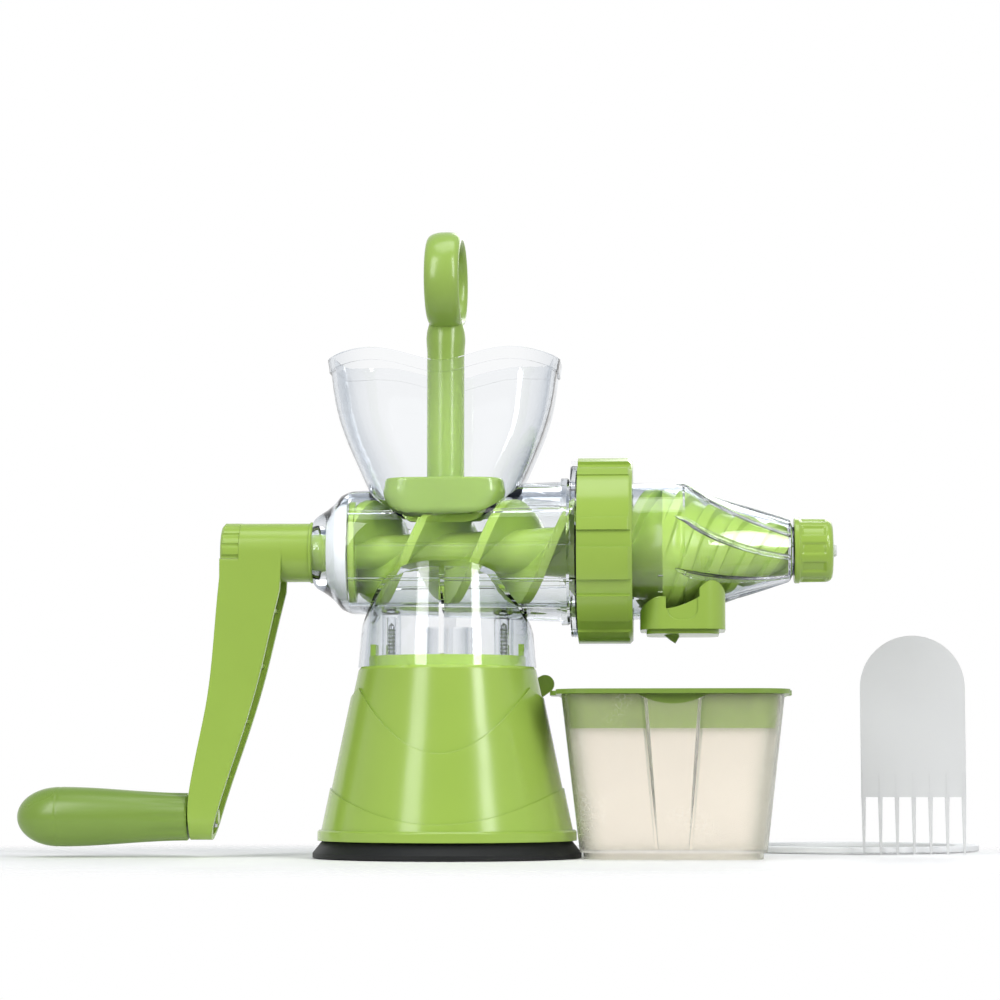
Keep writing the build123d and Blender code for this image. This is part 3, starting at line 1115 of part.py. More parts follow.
# ---------------------------------------------------------------- comb and spare ring
def cleaning_comb():
    """Flat comb with a round top, a shallow thumb dish and tapered tines."""
    x1 = COMB_X0 + COMB_W
    half = COMB_W / 2
    shoulder_h = COMB_H - half
    edge = [
        Polyline((x1, shoulder_h), (x1, COMB_TINE_TOP_H), (COMB_X0, COMB_TINE_TOP_H), (COMB_X0, shoulder_h)),
        ThreePointArc((COMB_X0, shoulder_h), (COMB_X0 + half, COMB_H), (x1, shoulder_h)),
    ]
    comb = plate_from(edge, COMB_Y, COMB_Y + COMB_T)
    pitch = (COMB_W - COMB_TINE_W) / (COMB_TINES - 1)
    for k in range(COMB_TINES):
        x = COMB_X0 + COMB_TINE_W / 2 + pitch * k
        comb += plate_xz([
            (x - COMB_TINE_W / 2, COMB_TINE_TOP_H + 1), (x - COMB_TINE_TIP_W / 2, 0),
            (x + COMB_TINE_TIP_W / 2, 0), (x + COMB_TINE_W / 2, COMB_TINE_TOP_H + 1),
        ], COMB_Y + 0.2, COMB_Y + COMB_T - 0.2)
        comb += block(x - 0.5, x + 0.5, COMB_Y - 0.4, COMB_Y + 1, COMB_TINE_TOP_H - 0.5, COMB_TINE_TOP_H + 12)
    dish_depth = 0.8
    ball_r = (COMB_DISH_R ** 2 + dish_depth ** 2) / (2 * dish_depth)
    dish_x = COMB_X0 + half
    return comb - Pos(dish_x, COMB_Y + dish_depth - ball_r, shoulder_h) * Sphere(ball_r)


def spare_ring():
    """Flat silicone ring, lying on the table."""
    ring = rod_z(0, RING_THICK, RING_R, RING_MID_X, RING_MID_Y)
    ring -= rod_z(-1, RING_THICK + 1, RING_BORE_R, RING_MID_X, RING_MID_Y)
    return fillet(ring.edges().filter_by(GeomType.CIRCLE), 0.8)


# ---------------------------------------------------------------- files
NODES = {
    "suction_foot": suction_foot,
    "foot_clamp": foot_clamp,
    "foot_screws": foot_screws,
    "base_shell": base_shell,
    "suction_stem": suction_stem,
    "suction_lever": suction_lever,
    "lever_clip": lever_clip,
    "body_screws": body_screws,
    "clear_body": clear_body,
    "shaft_seal": shaft_seal,
    "auger": auger,
    "drive_stud": drive_stud,
    "cone_gasket": cone_gasket,
    "strainer_cone": strainer_cone,
    "collar": collar,
    "end_cap": end_cap,
    "pressure_valve": pressure_valve,
    "juice_spout": juice_spout,
    "crank_arm": crank_arm,
    "crank_nut": crank_nut,
    "grip": grip,
    "grip_axle": grip_axle,
    "axle_nut": axle_nut,
    "pusher": pusher,
    "juice_cup": juice_cup,
    "cup_strainer": cup_strainer,
    "cleaning_comb": cleaning_comb,
    "spare_ring": spare_ring,
}

os.makedirs("parts", exist_ok=True)
for name, make in NODES.items():
    export_step(make(), os.path.join("parts", name + ".step"))
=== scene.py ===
# %% [markdown]
# # A hand-cranked wheatgrass juicer
# The CAD model gives every piece its place and size. This lesson dresses it: a white studio, moulded
# plastics that are green, clear and milky, rubber, silicone and steel, and the pieces whose surface
# flows in a way that is easier to write as a formula than to build from solids.

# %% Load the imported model
import json
import math

import bmesh
import bpy
import numpy as np
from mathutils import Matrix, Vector


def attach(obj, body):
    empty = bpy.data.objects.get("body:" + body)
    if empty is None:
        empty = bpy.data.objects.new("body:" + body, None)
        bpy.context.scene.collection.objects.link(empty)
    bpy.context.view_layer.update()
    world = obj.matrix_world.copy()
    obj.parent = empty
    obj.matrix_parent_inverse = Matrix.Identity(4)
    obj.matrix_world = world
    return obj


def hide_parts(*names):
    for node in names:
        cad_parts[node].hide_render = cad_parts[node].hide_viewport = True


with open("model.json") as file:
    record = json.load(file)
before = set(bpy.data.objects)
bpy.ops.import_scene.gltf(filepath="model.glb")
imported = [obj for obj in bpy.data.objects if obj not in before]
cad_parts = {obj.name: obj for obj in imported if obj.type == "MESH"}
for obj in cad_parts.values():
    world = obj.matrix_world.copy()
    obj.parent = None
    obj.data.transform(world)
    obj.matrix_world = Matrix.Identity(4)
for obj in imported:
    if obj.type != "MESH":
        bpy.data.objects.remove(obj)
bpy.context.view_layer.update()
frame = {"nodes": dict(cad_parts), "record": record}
nodes = frame["nodes"]
MM = 0.001       # one millimetre in metres
AXIS_H = 145.5   # height of the barrel's middle line above the table, in millimetres

# %% [markdown]
# ## The camera
# The photograph looks at the juicer almost level, from a little to the right of straight ahead, with
# a long lens. The same is done here: far away, narrow angle, and a small tilt upwards.

# %% Camera
scene = bpy.context.scene
TARGET = Vector((25.2, 0.0, 170.6)) * MM
CAMERA_AZIMUTH = 3.3   # degrees to the right of straight ahead
CAMERA_FAR = 1.4       # metres from the barrel's plane
CAMERA_H = 0.04        # metres above the table
FRAME_WIDE = 0.481     # metres across the picture at the juicer
SENSOR_WIDE = 36.0
turn = math.radians(CAMERA_AZIMUTH)
camera_data = bpy.data.cameras.new("camera")
camera = bpy.data.objects.new("camera", camera_data)
scene.collection.objects.link(camera)
camera.location = (TARGET.x + CAMERA_FAR * math.sin(turn), -CAMERA_FAR * math.cos(turn), CAMERA_H)
look = TARGET - camera.location
camera.rotation_mode = "QUATERNION"
camera.rotation_quaternion = look.to_track_quat("-Z", "Y")
camera_data.sensor_width = SENSOR_WIDE
camera_data.lens = SENSOR_WIDE * look.length / FRAME_WIDE
camera_data.clip_end = 20.0
scene.camera = camera
scene.view_settings.view_transform = "Standard"
print("lens", round(camera_data.lens, 1))

# %% [markdown]
# ## Small helpers for nodes
# Materials are written as short lists of nodes. `node` adds one and sets its sockets, `link` joins
# two sockets.


# %% Node helpers
def node(tree, kind, inputs=None, **settings):
    """A new node of a kind, with plain values for its sockets and settings."""
    made = tree.nodes.new(kind)
    for key, value in settings.items():
        setattr(made, key, value)
    for key, value in (inputs or {}).items():
        made.inputs[key].default_value = value
    return made


def link(tree, source, target):
    """Joins an output socket to an input socket."""
    tree.links.new(source, target)


def linear(hex_colour):
    """Colour written as #rrggbb, as the linear numbers that nodes use."""
    shares = [int(hex_colour[i:i + 2], 16) / 255 for i in (1, 3, 5)]
    return [s / 12.92 if s <= 0.04045 else ((s + 0.055) / 1.055) ** 2.4 for s in shares] + [1.0]


print("mid grey is", [round(v, 3) for v in linear("#808080")])

# %% [markdown]
# ## Studio
# The background is plain white for the camera and for what is seen through clear plastic. In
# reflections the ceiling is a quiet blue-grey and the side behind the camera is dim, so that clear
# plastic gets the cool dark lines that it has in a real white studio. Everything else sees a weak
# white sky, which leaves the shading to the lamps.

# %% World
world = bpy.data.worlds.new("studio")
scene.world = world
world.use_nodes = True
tree = world.node_tree
tree.nodes.clear()
place = node(tree, "ShaderNodeTexCoord")
split = node(tree, "ShaderNodeSeparateXYZ")
link(tree, place.outputs["Generated"], split.inputs[0])
# Colour: white up to a little above the horizon, then blue-grey towards the ceiling.
ceiling = node(tree, "ShaderNodeMapRange", {"From Min": 0.35, "From Max": 0.95, "To Min": 0.0, "To Max": 1.0})
link(tree, split.outputs["Z"], ceiling.inputs["Value"])
sky = node(tree, "ShaderNodeMix", data_type="RGBA")
sky.inputs[6].default_value = linear("#ffffff")
sky.inputs[7].default_value = linear("#77869a")
link(tree, ceiling.outputs[0], sky.inputs["Factor"])
rays = node(tree, "ShaderNodeLightPath")
# Strength: 1 for what is seen, by direction for reflections, 0.4 for soft light.
seen = node(tree, "ShaderNodeMath", operation="MAXIMUM")
link(tree, rays.outputs["Is Camera Ray"], seen.inputs[0])
link(tree, rays.outputs["Is Transmission Ray"], seen.inputs[1])
paint = node(tree, "ShaderNodeMix", data_type="RGBA")
paint.inputs[7].default_value = linear("#ffffff")
link(tree, rays.outputs["Is Camera Ray"], paint.inputs["Factor"])
link(tree, sky.outputs[2], paint.inputs[6])
dusk = node(tree, "ShaderNodeMapRange", {"From Min": -0.95, "From Max": 0.35, "To Min": 0.22, "To Max": 1.0})
link(tree, split.outputs["Y"], dusk.inputs["Value"])
unseen = node(tree, "ShaderNodeMix", {"A": 0.4})
link(tree, rays.outputs["Is Glossy Ray"], unseen.inputs["Factor"])
link(tree, dusk.outputs[0], unseen.inputs["B"])
level = node(tree, "ShaderNodeMix", {"B": 1.0})
link(tree, seen.outputs[0], level.inputs["Factor"])
link(tree, unseen.outputs[0], level.inputs["A"])
back = node(tree, "ShaderNodeBackground")
link(tree, paint.outputs[2], back.inputs["Color"])
link(tree, level.outputs[0], back.inputs["Strength"])
out = node(tree, "ShaderNodeOutputWorld")
link(tree, back.outputs[0], out.inputs["Surface"])
print("world nodes", len(tree.nodes))

# %% [markdown]
# ## Lamps
# Two upright soft boxes stand left and right of the camera: they draw the long highlights on rod,
# neck and cone. A wide one from above gives the soft shadow under the juicer, and a weak one from
# behind keeps the milky comb bright.


# %% Lamps
def soft_box(name, place_m, size_x, size_y, watts, aim=(0.03, 0.0, 0.13)):
    """Area lamp at a place, turned towards the juicer."""
    data = bpy.data.lights.new(name, "AREA")
    data.shape = "RECTANGLE"
    data.size, data.size_y, data.energy = size_x, size_y, watts
    lamp = bpy.data.objects.new(name, data)
    scene.collection.objects.link(lamp)
    lamp.location = place_m
    lamp.rotation_mode = "QUATERNION"
    lamp.rotation_quaternion = (Vector(aim) - Vector(place_m)).to_track_quat("-Z", "Y")
    return lamp


soft_box("left box", (-0.62, -1.05, 0.85), 0.42, 1.1, 9.6)
soft_box("right box", (0.92, -0.95, 0.85), 0.3, 1.1, 11.0)
soft_box("top box", (0.1, -0.15, 1.35), 0.9, 0.6, 5.0)
soft_box("back box", (0.4, 1.3, 0.9), 0.7, 0.8, 4.5)
print("lamps", [lamp.name for lamp in bpy.data.lights])

# %% [markdown]
# ## Shared finishes
# Injection-moulded plastic isn't perfectly even: it has a faint orange peel from the mould, slow
# changes of gloss, and dust of fine handling marks. One node group holds this, and each material
# takes it with its own scale.


# %% Group: moulded skin
def new_group(name, inputs, outputs):
    """Empty shader group with number inputs and outputs."""
    group = bpy.data.node_groups.new(name, "ShaderNodeTree")
    for key, value in inputs.items():
        socket = group.interface.new_socket(key, in_out="INPUT", socket_type="NodeSocketFloat")
        socket.default_value = value
    for key in outputs:
        group.interface.new_socket(key, in_out="OUTPUT", socket_type="NodeSocketFloat")
    return group, node(group, "NodeGroupInput"), node(group, "NodeGroupOutput")


SKIN_SCALES = {"Grain scale": 900.0, "Flow scale": 22.0, "Mark scale": 420.0}
skin, skin_in, skin_out = new_group("moulded skin", SKIN_SCALES, ["Grain", "Flow", "Marks"])
place = node(skin, "ShaderNodeTexCoord")
grain = node(skin, "ShaderNodeTexNoise", {"Detail": 3.0, "Roughness": 0.55})
flow = node(skin, "ShaderNodeTexNoise", {"Detail": 2.0, "Roughness": 0.5})
marks = node(skin, "ShaderNodeTexVoronoi", feature="DISTANCE_TO_EDGE")
for maker, key in ((grain, "Grain scale"), (flow, "Flow scale"), (marks, "Mark scale")):
    link(skin, place.outputs["Object"], maker.inputs["Vector"])
    link(skin, skin_in.outputs[key], maker.inputs["Scale"])
thin = node(skin, "ShaderNodeMapRange", {"From Min": 0.0, "From Max": 0.02, "To Min": 0.25, "To Max": 0.0})
link(skin, marks.outputs["Distance"], thin.inputs["Value"])
spread = node(skin, "ShaderNodeMath", operation="MULTIPLY")
link(skin, thin.outputs[0], spread.inputs[0])
link(skin, flow.outputs["Fac"], spread.inputs[1])
link(skin, grain.outputs["Fac"], skin_out.inputs["Grain"])
link(skin, flow.outputs["Fac"], skin_out.inputs["Flow"])
link(skin, spread.outputs[0], skin_out.inputs["Marks"])
print("moulded skin nodes", len(skin.nodes))


# %% A material with a moulded skin
def moulded(name, light, dark, rough, grain_scale=900.0, grain_depth=0.00003, round_edge=0.0, **sockets):
    """Principled material whose colour, gloss and height change as the moulded skin says.

    The colour goes from light to dark with the slow flow, roughness between the two values of rough,
    and the grain lifts the surface by grain_depth metres. Edges are shaded as if rounded by
    round_edge metres. Other sockets get plain values.
    """
    material = bpy.data.materials.new(name)
    material.use_nodes = True
    tree = material.node_tree
    shader = tree.nodes["Principled BSDF"]
    for key, value in sockets.items():
        shader.inputs[key.replace("_", " ")].default_value = value
    group = node(tree, "ShaderNodeGroup", node_tree=skin)
    group.inputs["Grain scale"].default_value = grain_scale
    colour = node(tree, "ShaderNodeMix", data_type="RGBA")
    colour.inputs[6].default_value = light
    colour.inputs[7].default_value = dark
    link(tree, group.outputs["Flow"], colour.inputs["Factor"])
    link(tree, colour.outputs[2], shader.inputs["Base Color"])
    gloss = node(tree, "ShaderNodeMapRange",
                 {"From Min": 0.3, "From Max": 0.8, "To Min": rough[0], "To Max": rough[1]})
    mixed = node(tree, "ShaderNodeMath", operation="ADD")
    link(tree, group.outputs["Flow"], mixed.inputs[0])
    link(tree, group.outputs["Marks"], mixed.inputs[1])
    link(tree, mixed.outputs[0], gloss.inputs["Value"])
    link(tree, gloss.outputs[0], shader.inputs["Roughness"])
    bump = node(tree, "ShaderNodeBump", {"Strength": 0.35, "Distance": grain_depth})
    link(tree, group.outputs["Grain"], bump.inputs["Height"])
    if round_edge:
        soft_edge = node(tree, "ShaderNodeBevel", {"Radius": round_edge}, samples=4)
        link(tree, soft_edge.outputs[0], bump.inputs["Normal"])
    link(tree, bump.outputs[0], shader.inputs["Normal"])
    return material


# %% [markdown]
# ## Green plastic, rubber, silicone and steel
# All green pieces are one plastic. The pusher rod and pad, the grip and the cup strainer get a copy of the
# green painted darker, painted shade where they lie in shadow or behind clear plastic. The finger ring gets a
# copy painted lighter, painted light on its band. A little light sinks in and comes back warmer, which
# softens the shadows as in real polypropylene. Rubber is nearly black and dull, silicone is milky, and the
# screws are plated steel.

# %% Opaque materials
SUNK_LIGHT = {"IOR": 1.5, "Subsurface_Weight": 0.06, "Subsurface_Radius": (0.002, 0.003, 0.001),
              "Subsurface_Scale": 0.6}
green = moulded("green plastic", linear("#9fbd54"), linear("#94b249"), (0.17, 0.25), round_edge=0.0006,
                **SUNK_LIGHT)
# Painted shade and painted light: the pusher and grip copies of the green are painted darker, and the ring
# copy is painted lighter.
pusher_green_painted_shade = moulded("pusher plastic painted shade", linear("#8fac52"), linear("#86a34a"), (0.18, 0.26), **SUNK_LIGHT)
ring_green_painted_light = moulded("ring plastic painted light", linear("#9bb95a"), linear("#92b052"), (0.18, 0.26), **SUNK_LIGHT)
grip_green_painted_shade = moulded("grip plastic painted shade", linear("#7f9c43"), linear("#76933c"), (0.26, 0.36), **SUNK_LIGHT)
rubber = moulded("black rubber", linear("#131516"), linear("#0c0e0e"), (0.5, 0.72), grain_scale=1400.0,
                 grain_depth=0.00006, IOR=1.42)
silicone = moulded("white silicone", linear("#f2f3f3"), linear("#e7e9ea"), (0.4, 0.55), IOR=1.42,
                   Subsurface_Weight=0.2, Subsurface_Radius=(0.004, 0.004, 0.004), Subsurface_Scale=0.5)
steel = moulded("plated steel", linear("#b9bbbe"), linear("#a3a5a8"), (0.22, 0.38), grain_scale=1800.0,
                grain_depth=0.00001, Metallic=1.0)
print("materials", [material.name for material in bpy.data.materials])

# %% [markdown]
# ## Clear plastic
# The body, hopper and cone are thick clear mouldings, and the cup and the comb are milky ones. A
# glass-like shader bends the light. Where the surface turns away, its colour is painted a cool grey: painted
# shade and painted reflection for the dark lines that thick walls show when one looks along them. Light that
# falls through on its way to the green pieces isn't stopped: for shadow rays the material is open by a share
# of its own.


# %% Clear and milky plastics
def see_through(name, face, rim, rough, ior, open_share, transmission=1.0):
    """Clear moulded plastic: face colour looking straight on, rim colour at a slant, which is painted shade
    and painted reflection.

    open_share is the part of the light that passes straight through on its way to what is behind.
    """
    material = moulded(name, face, face, rough, grain_scale=500.0, grain_depth=0.00001, IOR=ior,
                       Transmission_Weight=transmission)
    tree = material.node_tree
    shader = tree.nodes["Principled BSDF"]
    even = shader.inputs["Base Color"].links[0].from_socket
    # Painted shade: the colour turns to the rim colour as the surface turns away, standing in for the dark
    # edges and reflections of thick clear walls.
    edge = node(tree, "ShaderNodeLayerWeight", {"Blend": 0.35})
    painted_edge_shade = node(tree, "ShaderNodeMix", data_type="RGBA")
    painted_edge_shade.inputs[7].default_value = rim
    link(tree, even, painted_edge_shade.inputs[6])
    link(tree, edge.outputs["Facing"], painted_edge_shade.inputs["Factor"])
    link(tree, painted_edge_shade.outputs[2], shader.inputs["Base Color"])
    rays = node(tree, "ShaderNodeLightPath")
    share = node(tree, "ShaderNodeMath", operation="MULTIPLY")
    share.inputs[1].default_value = open_share
    link(tree, rays.outputs["Is Shadow Ray"], share.inputs[0])
    clear = node(tree, "ShaderNodeBsdfTransparent")
    mix = node(tree, "ShaderNodeMixShader")
    link(tree, share.outputs[0], mix.inputs[0])
    link(tree, shader.outputs[0], mix.inputs[1])
    link(tree, clear.outputs[0], mix.inputs[2])
    link(tree, mix.outputs[0], tree.nodes["Material Output"].inputs["Surface"])
    return material


# The rim colours are painted shade and painted reflection at slanting edges.
clear_plastic = see_through("clear plastic", linear("#fcfdfe"), linear("#8c9bac"), (0.0, 0.04), 1.46, 0.92)
comb_plastic = see_through("comb plastic", linear("#dcdddd"), linear("#c9cccf"), (0.4, 0.5), 1.3, 0.5,
                           transmission=0.3)
frosted = see_through("frosted plastic", linear("#fbf6ee"), linear("#b9c2b4"), (0.2, 0.28), 1.3, 0.75,
                      transmission=0.93)
print("see-through", clear_plastic.name, comb_plastic.name, frosted.name)

# %% [markdown]
# ## Dress the CAD pieces
# Each CAD piece gets the material of its slot. The pusher, grip and cup strainer instead get a copy of the
# green painted darker, as painted shade.
# The imported meshes are loose triangles, so a weld and an edge split give them smooth faces with
# crisp edges.

# %% Materials for the nodes
WELD_NEAR = 0.00001
CRISP_DEG = 28
BY_SLOT = {
    "green_plastic": green, "clear_plastic": clear_plastic, "frosted_plastic": frosted,
    "black_rubber": rubber, "white_silicone": silicone, "comb_plastic": comb_plastic, "steel": steel,
}
# Painted shade: the pusher, cup strainer and grip take a copy of the green painted darker.
PAINTED_SHADE_COPIES = {"pusher": pusher_green_painted_shade, "cup_strainer": grip_green_painted_shade, "grip": grip_green_painted_shade}
slot_of = {part["node"]: part["material_slot"] for part in frame["record"]["subparts"]}
for name, piece in nodes.items():
    piece.data.materials.clear()
    piece.data.materials.append(PAINTED_SHADE_COPIES.get(name, BY_SLOT[slot_of[name]]))
    piece.data.polygons.foreach_set("use_smooth", np.ones(len(piece.data.polygons), bool))
    weld = piece.modifiers.new("weld", "WELD")
    weld.merge_threshold = WELD_NEAR
    crisp = piece.modifiers.new("crisp edges", "EDGE_SPLIT")
    crisp.split_angle = math.radians(CRISP_DEG)
print("dressed", len(nodes))

# %% [markdown]
# ## Pieces from formulas
# A screw, a fluted cap or a hand grip is a surface that two numbers lead you over: how far along,
# and how far around. numpy works out all its points at once, and one helper turns such a grid of
# points into a mesh. Building them this way, instead of from solids, keeps every edge soft and lets
# a groove fade in slowly, as it does in a mould.


# %% Helper: mesh from grids of points
def surface(name, points, material, body, replaces=(), sharp_deg=38):
    """Closed skin through grids of points in millimetres, (copies, rows, columns, 3).

    Each cell between two rows and two columns is a quad, and the last column joins the first.
    Rows that shrink to one point, or a last row equal to the first, close the ends: equal points
    are merged. Faces are turned outwards.
    """
    points = points if points.ndim == 4 else points[None]
    copies, rows, columns = points.shape[:3]
    start = (np.arange(copies) * rows * columns)[:, None, None]
    row = np.arange(rows - 1)[None, :, None] * columns + start
    column = np.arange(columns)[None, None, :]
    after = (column + 1) % columns
    quads = np.stack(np.broadcast_arrays(
        row + column, row + columns + column, row + columns + after, row + after), -1).reshape(-1, 4)
    mesh = bpy.data.meshes.new(name)
    mesh.vertices.add(copies * rows * columns)
    mesh.vertices.foreach_set("co", (points.reshape(-1, 3) * MM).astype(np.float32).ravel())
    mesh.loops.add(quads.size)
    mesh.loops.foreach_set("vertex_index", quads.astype(np.int32).ravel())
    mesh.polygons.add(len(quads))
    mesh.polygons.foreach_set("loop_start", np.arange(0, quads.size, 4, dtype=np.int32))
    mesh.update(calc_edges=True)
    work = bmesh.new()
    work.from_mesh(mesh)
    bmesh.ops.remove_doubles(work, verts=work.verts, dist=1e-7)
    bmesh.ops.dissolve_degenerate(work, edges=work.edges, dist=1e-8)
    bmesh.ops.recalc_face_normals(work, faces=work.faces)
    open_edges = sum(1 for edge in work.edges if len(edge.link_faces) != 2)
    work.to_mesh(mesh)
    work.free()
    mesh.polygons.foreach_set("use_smooth", np.ones(len(mesh.polygons), bool))
    mesh.set_sharp_from_angle(angle=math.radians(sharp_deg))
    mesh.materials.append(material)
    piece = bpy.data.objects.new(name, mesh)
    scene.collection.objects.link(piece)
    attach(piece, body)
    if replaces:
        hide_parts(*replaces)
    print(name, "faces", len(mesh.polygons), "open edges", open_edges)
    return piece


# %% Helpers: lines, circles and soft steps
def track(x, *stations):
    """Value at x on straight lines through (x, value) stations, level beyond the first and last."""
    places, values = zip(*stations)
    return np.interp(x, places, values)


def around_x(x, radius, angle, height):
    """Points on circles about a line along X: angle 0 is the front, a quarter turn is up."""
    x, radius, angle = np.broadcast_arrays(x, radius, angle)
    return np.stack([x, -radius * np.cos(angle), height + radius * np.sin(angle)], -1)


def smooth(t):
    """Soft step: 3t^2 - 2t^3 between 0 and 1, flat outside."""
    t = np.clip(t, 0.0, 1.0)
    return t * t * (3 - 2 * t)


def dense(corners, step):
    """Corner points joined by straight runs, with a point at least every step millimetres."""
    corners = np.asarray(corners, float)
    runs = [np.linspace(a, b, max(2, int(np.linalg.norm(b - a) / step) + 1))[:-1]
            for a, b in zip(corners[:-1], corners[1:])]
    return np.concatenate([*runs, corners[-1:]])


def full_turn(count):
    """Angles of a whole turn, without the last one that equals the first."""
    return np.linspace(0, 2 * np.pi, count, endpoint=False)


def boxy(angle, power):
    """Cosine and sine with their sizes raised to a power: below 1 a circle becomes a rounded box."""
    return [np.sign(wave) * np.abs(wave) ** power for wave in (np.cos(angle), np.sin(angle))]


print("half a soft step is", smooth(0.5))

# %% [markdown]
# ## The screw
# One long green moulding. Two coarse flights feed the grass along the barrel, and four shallow
# flights press it in the cone. Every cross-section is a core circle with raised lands, and it turns
# as it moves along. The columns of the grid turn with it, so they run along the flight edges and
# keep them crisp, which a plain grid of circles wouldn't.


# %% Helper: the section of a screw
def lobed(x, starts, lead, land_deg, ramp_deg, core, edge, columns, first=0.0):
    """Radius and angle of each grid point of a screw, as (rows, columns) arrays.

    From the middle of a land outwards: the edge radius over half of land_deg, a soft step down over
    ramp_deg, then the core radius. The section starts at the angle first and makes a full turn for
    each lead in x.
    """
    side = np.linspace(-1, 1, columns, endpoint=False)
    land = land_deg / 2
    reach = track(np.abs(side), (0, 0), (0.25, land), (0.65, land + ramp_deg), (1, 180 / starts))
    height = 1 - smooth((reach - land) / ramp_deg)
    radius = core[:, None] + (edge - core)[:, None] * height
    lobe = np.radians(reach * np.sign(side))
    turns = np.arange(starts)[:, None] * 2 * np.pi / starts
    angle = (turns + lobe).ravel()[None, :] + (2 * np.pi * (x - x[0]) / lead)[:, None] + first
    return np.tile(radius, (1, starts)), angle, np.tile(side, starts)


# %% Feed flights
FEED_STARTS, FEED_LEAD, FEED_LAND_DEG, FEED_RAMP_DEG, FEED_FIRST = 2, 67.2, 23.0, 11.0, 0.674
feed_x = np.linspace(-42.6, 104.0, 420)
feed_core = track(feed_x, (-42.6, 8.0), (0, 9.2), (40, 11.0), (60, 12.5), (76, 17.0), (90, 22.0), (104, 26.4))
feed_edge = track(feed_x, (-42.6, 25.2), (60, 25.2), (70, 28.6), (78, 29.5), (104, 29.6))
feed_r, feed_a, feed_side = lobed(feed_x, FEED_STARTS, FEED_LEAD, FEED_LAND_DEG, FEED_RAMP_DEG, feed_core,
                                  feed_edge, 90, FEED_FIRST)
print("feed grid", feed_r.shape, "largest radius", feed_r.max())

# %% [markdown]
# Small teeth on one edge of each feed flight cut the grass. A tooth is the upper half of a sine wave
# along the axis, times a bell curve across the land that keeps it on that edge.

# %% Cutting teeth
TOOTH_PITCH, TOOTH_DEEP, TEETH_END_X = 3.1, 0.55, 72
wave = np.clip(np.sin(feed_x * 2 * np.pi / TOOTH_PITCH)[:, None], 0, 1)
teeth = wave * np.exp(-((feed_side - 0.2) / 0.09) ** 2)
feed_r = feed_r - TOOTH_DEEP * teeth * (feed_x < TEETH_END_X)[:, None]
print("teeth in a row", int((TEETH_END_X - feed_x[0]) / TOOTH_PITCH))

# %% [markdown]
# The flights end in a thrust disc. Behind it a round shaft runs in the seal, and a square end drives
# the screw: its radius is half the width, divided by the larger of cosine and sine.

# %% Disc, shaft and drive square
DRIVE_HALF = 5.5
disc = dense([(-66.5, 8.2), (-65.7, 9.0), (-45.5, 9.0), (-45.5, 23.9), (-45.0, 24.4), (-43.1, 24.4),
              (-42.6, 23.9)], 4)
disc_a = np.repeat(feed_a[:1], len(disc), 0)
drive_a = disc_a[:3]
drive_x = np.array([[-94.0], [-94.0], [-66.5]])
drive_open = np.array([[0.0], [1.0], [1.0]])
drive_r = DRIVE_HALF / np.maximum(np.abs(np.cos(drive_a)), np.abs(np.sin(drive_a))) * drive_open
screw = np.concatenate([
    around_x(drive_x, drive_r, drive_a, AXIS_H),
    around_x(disc[:, :1], disc[:, 1:], disc_a, AXIS_H),
    around_x(feed_x[:, None], feed_r, feed_a, AXIS_H),
    around_x(feed_x[-1:, None], 0.0 * feed_a[:1], feed_a[-1:], AXIS_H)])
surface("screw_feed", screw, green, "crank", replaces=("auger",), sharp_deg=32)

# %% [markdown]
# The press flights follow the clear cone at a small distance. Their core rises to the flights at the
# wide end, so that the grooves begin softly.

# %% Press flights
PRESS_STARTS, PRESS_LEAD, PRESS_LAND_DEG, PRESS_RAMP_DEG = 4, 57.0, 28.0, 8.0
PRESS_GAP, PRESS_DEEP = 3.2, 2.7
CONE_TAPER = [(103.0, 32.7), (111.8, 32.7), (125.0, 26.8), (139.0, 21.6), (153.2, 17.4), (163.8, 14.3)]
press_x = np.linspace(103.0, 162.5, 200)
press_edge = track(press_x, *CONE_TAPER) - PRESS_GAP
press_core = press_edge - PRESS_DEEP * smooth((press_x - 102.0) / 9.0)
press_r, press_a, _ = lobed(press_x, PRESS_STARTS, PRESS_LEAD, PRESS_LAND_DEG, PRESS_RAMP_DEG, press_core,
                            press_edge, 56)
press = around_x(press_x[:, None], press_r, press_a, AXIS_H)
ends = around_x(press_x[[0, -1], None], 0.0 * press_a[:2], press_a[:2], AXIS_H)
press = np.concatenate([ends[:1], press, ends[1:]])
surface("screw_press", press, green, "crank", sharp_deg=32)

# %% [markdown]
# ## Grip
# The handle swells to the palm and ends in a dome. It is a turned shape: a radius for each place
# along it. The radius grows by a soft step, and in the dome it follows a slightly squared circle. A
# bell curve cuts the fine seam where the dome begins, and ten shallow finger flutes, a squared
# cosine around the handle, fade in towards the arm.

# %% Grip outside
GRIP_H = 19.0
GRIP_EDGE_X, DOME_X, DOME_LONG, DOME_R = -124.8, -185.5, 21.6, 14.25
grip_x = np.concatenate([
    dense([(-123.8, 0), (GRIP_EDGE_X, 0)], 0.25)[:, 0], np.linspace(-125.2, -185.0, 150),
    DOME_X - DOME_LONG * np.sin(np.linspace(0, np.pi / 2, 70))])
swell = 11.35 + 2.9 * smooth((GRIP_EDGE_X - grip_x) / 60.7)
along = np.clip(DOME_X - grip_x, 0, DOME_LONG) / DOME_LONG
dome = DOME_R * np.sqrt(np.clip(1 - along ** 2.2, 0, 1))
grip_r = np.where(grip_x > DOME_X, swell, dome) - 1.0 * np.clip(grip_x - GRIP_EDGE_X, 0, 1)
grip_r = grip_r - 0.16 * np.exp(-((grip_x + 186.3) / 0.3) ** 2)
grip_a = full_turn(120)
flute = (0.5 + 0.5 * np.cos(10 * grip_a)) ** 2
flute_depth = 0.5 * smooth((grip_x + 154.0) / 26.0) * (grip_x < -124.5)
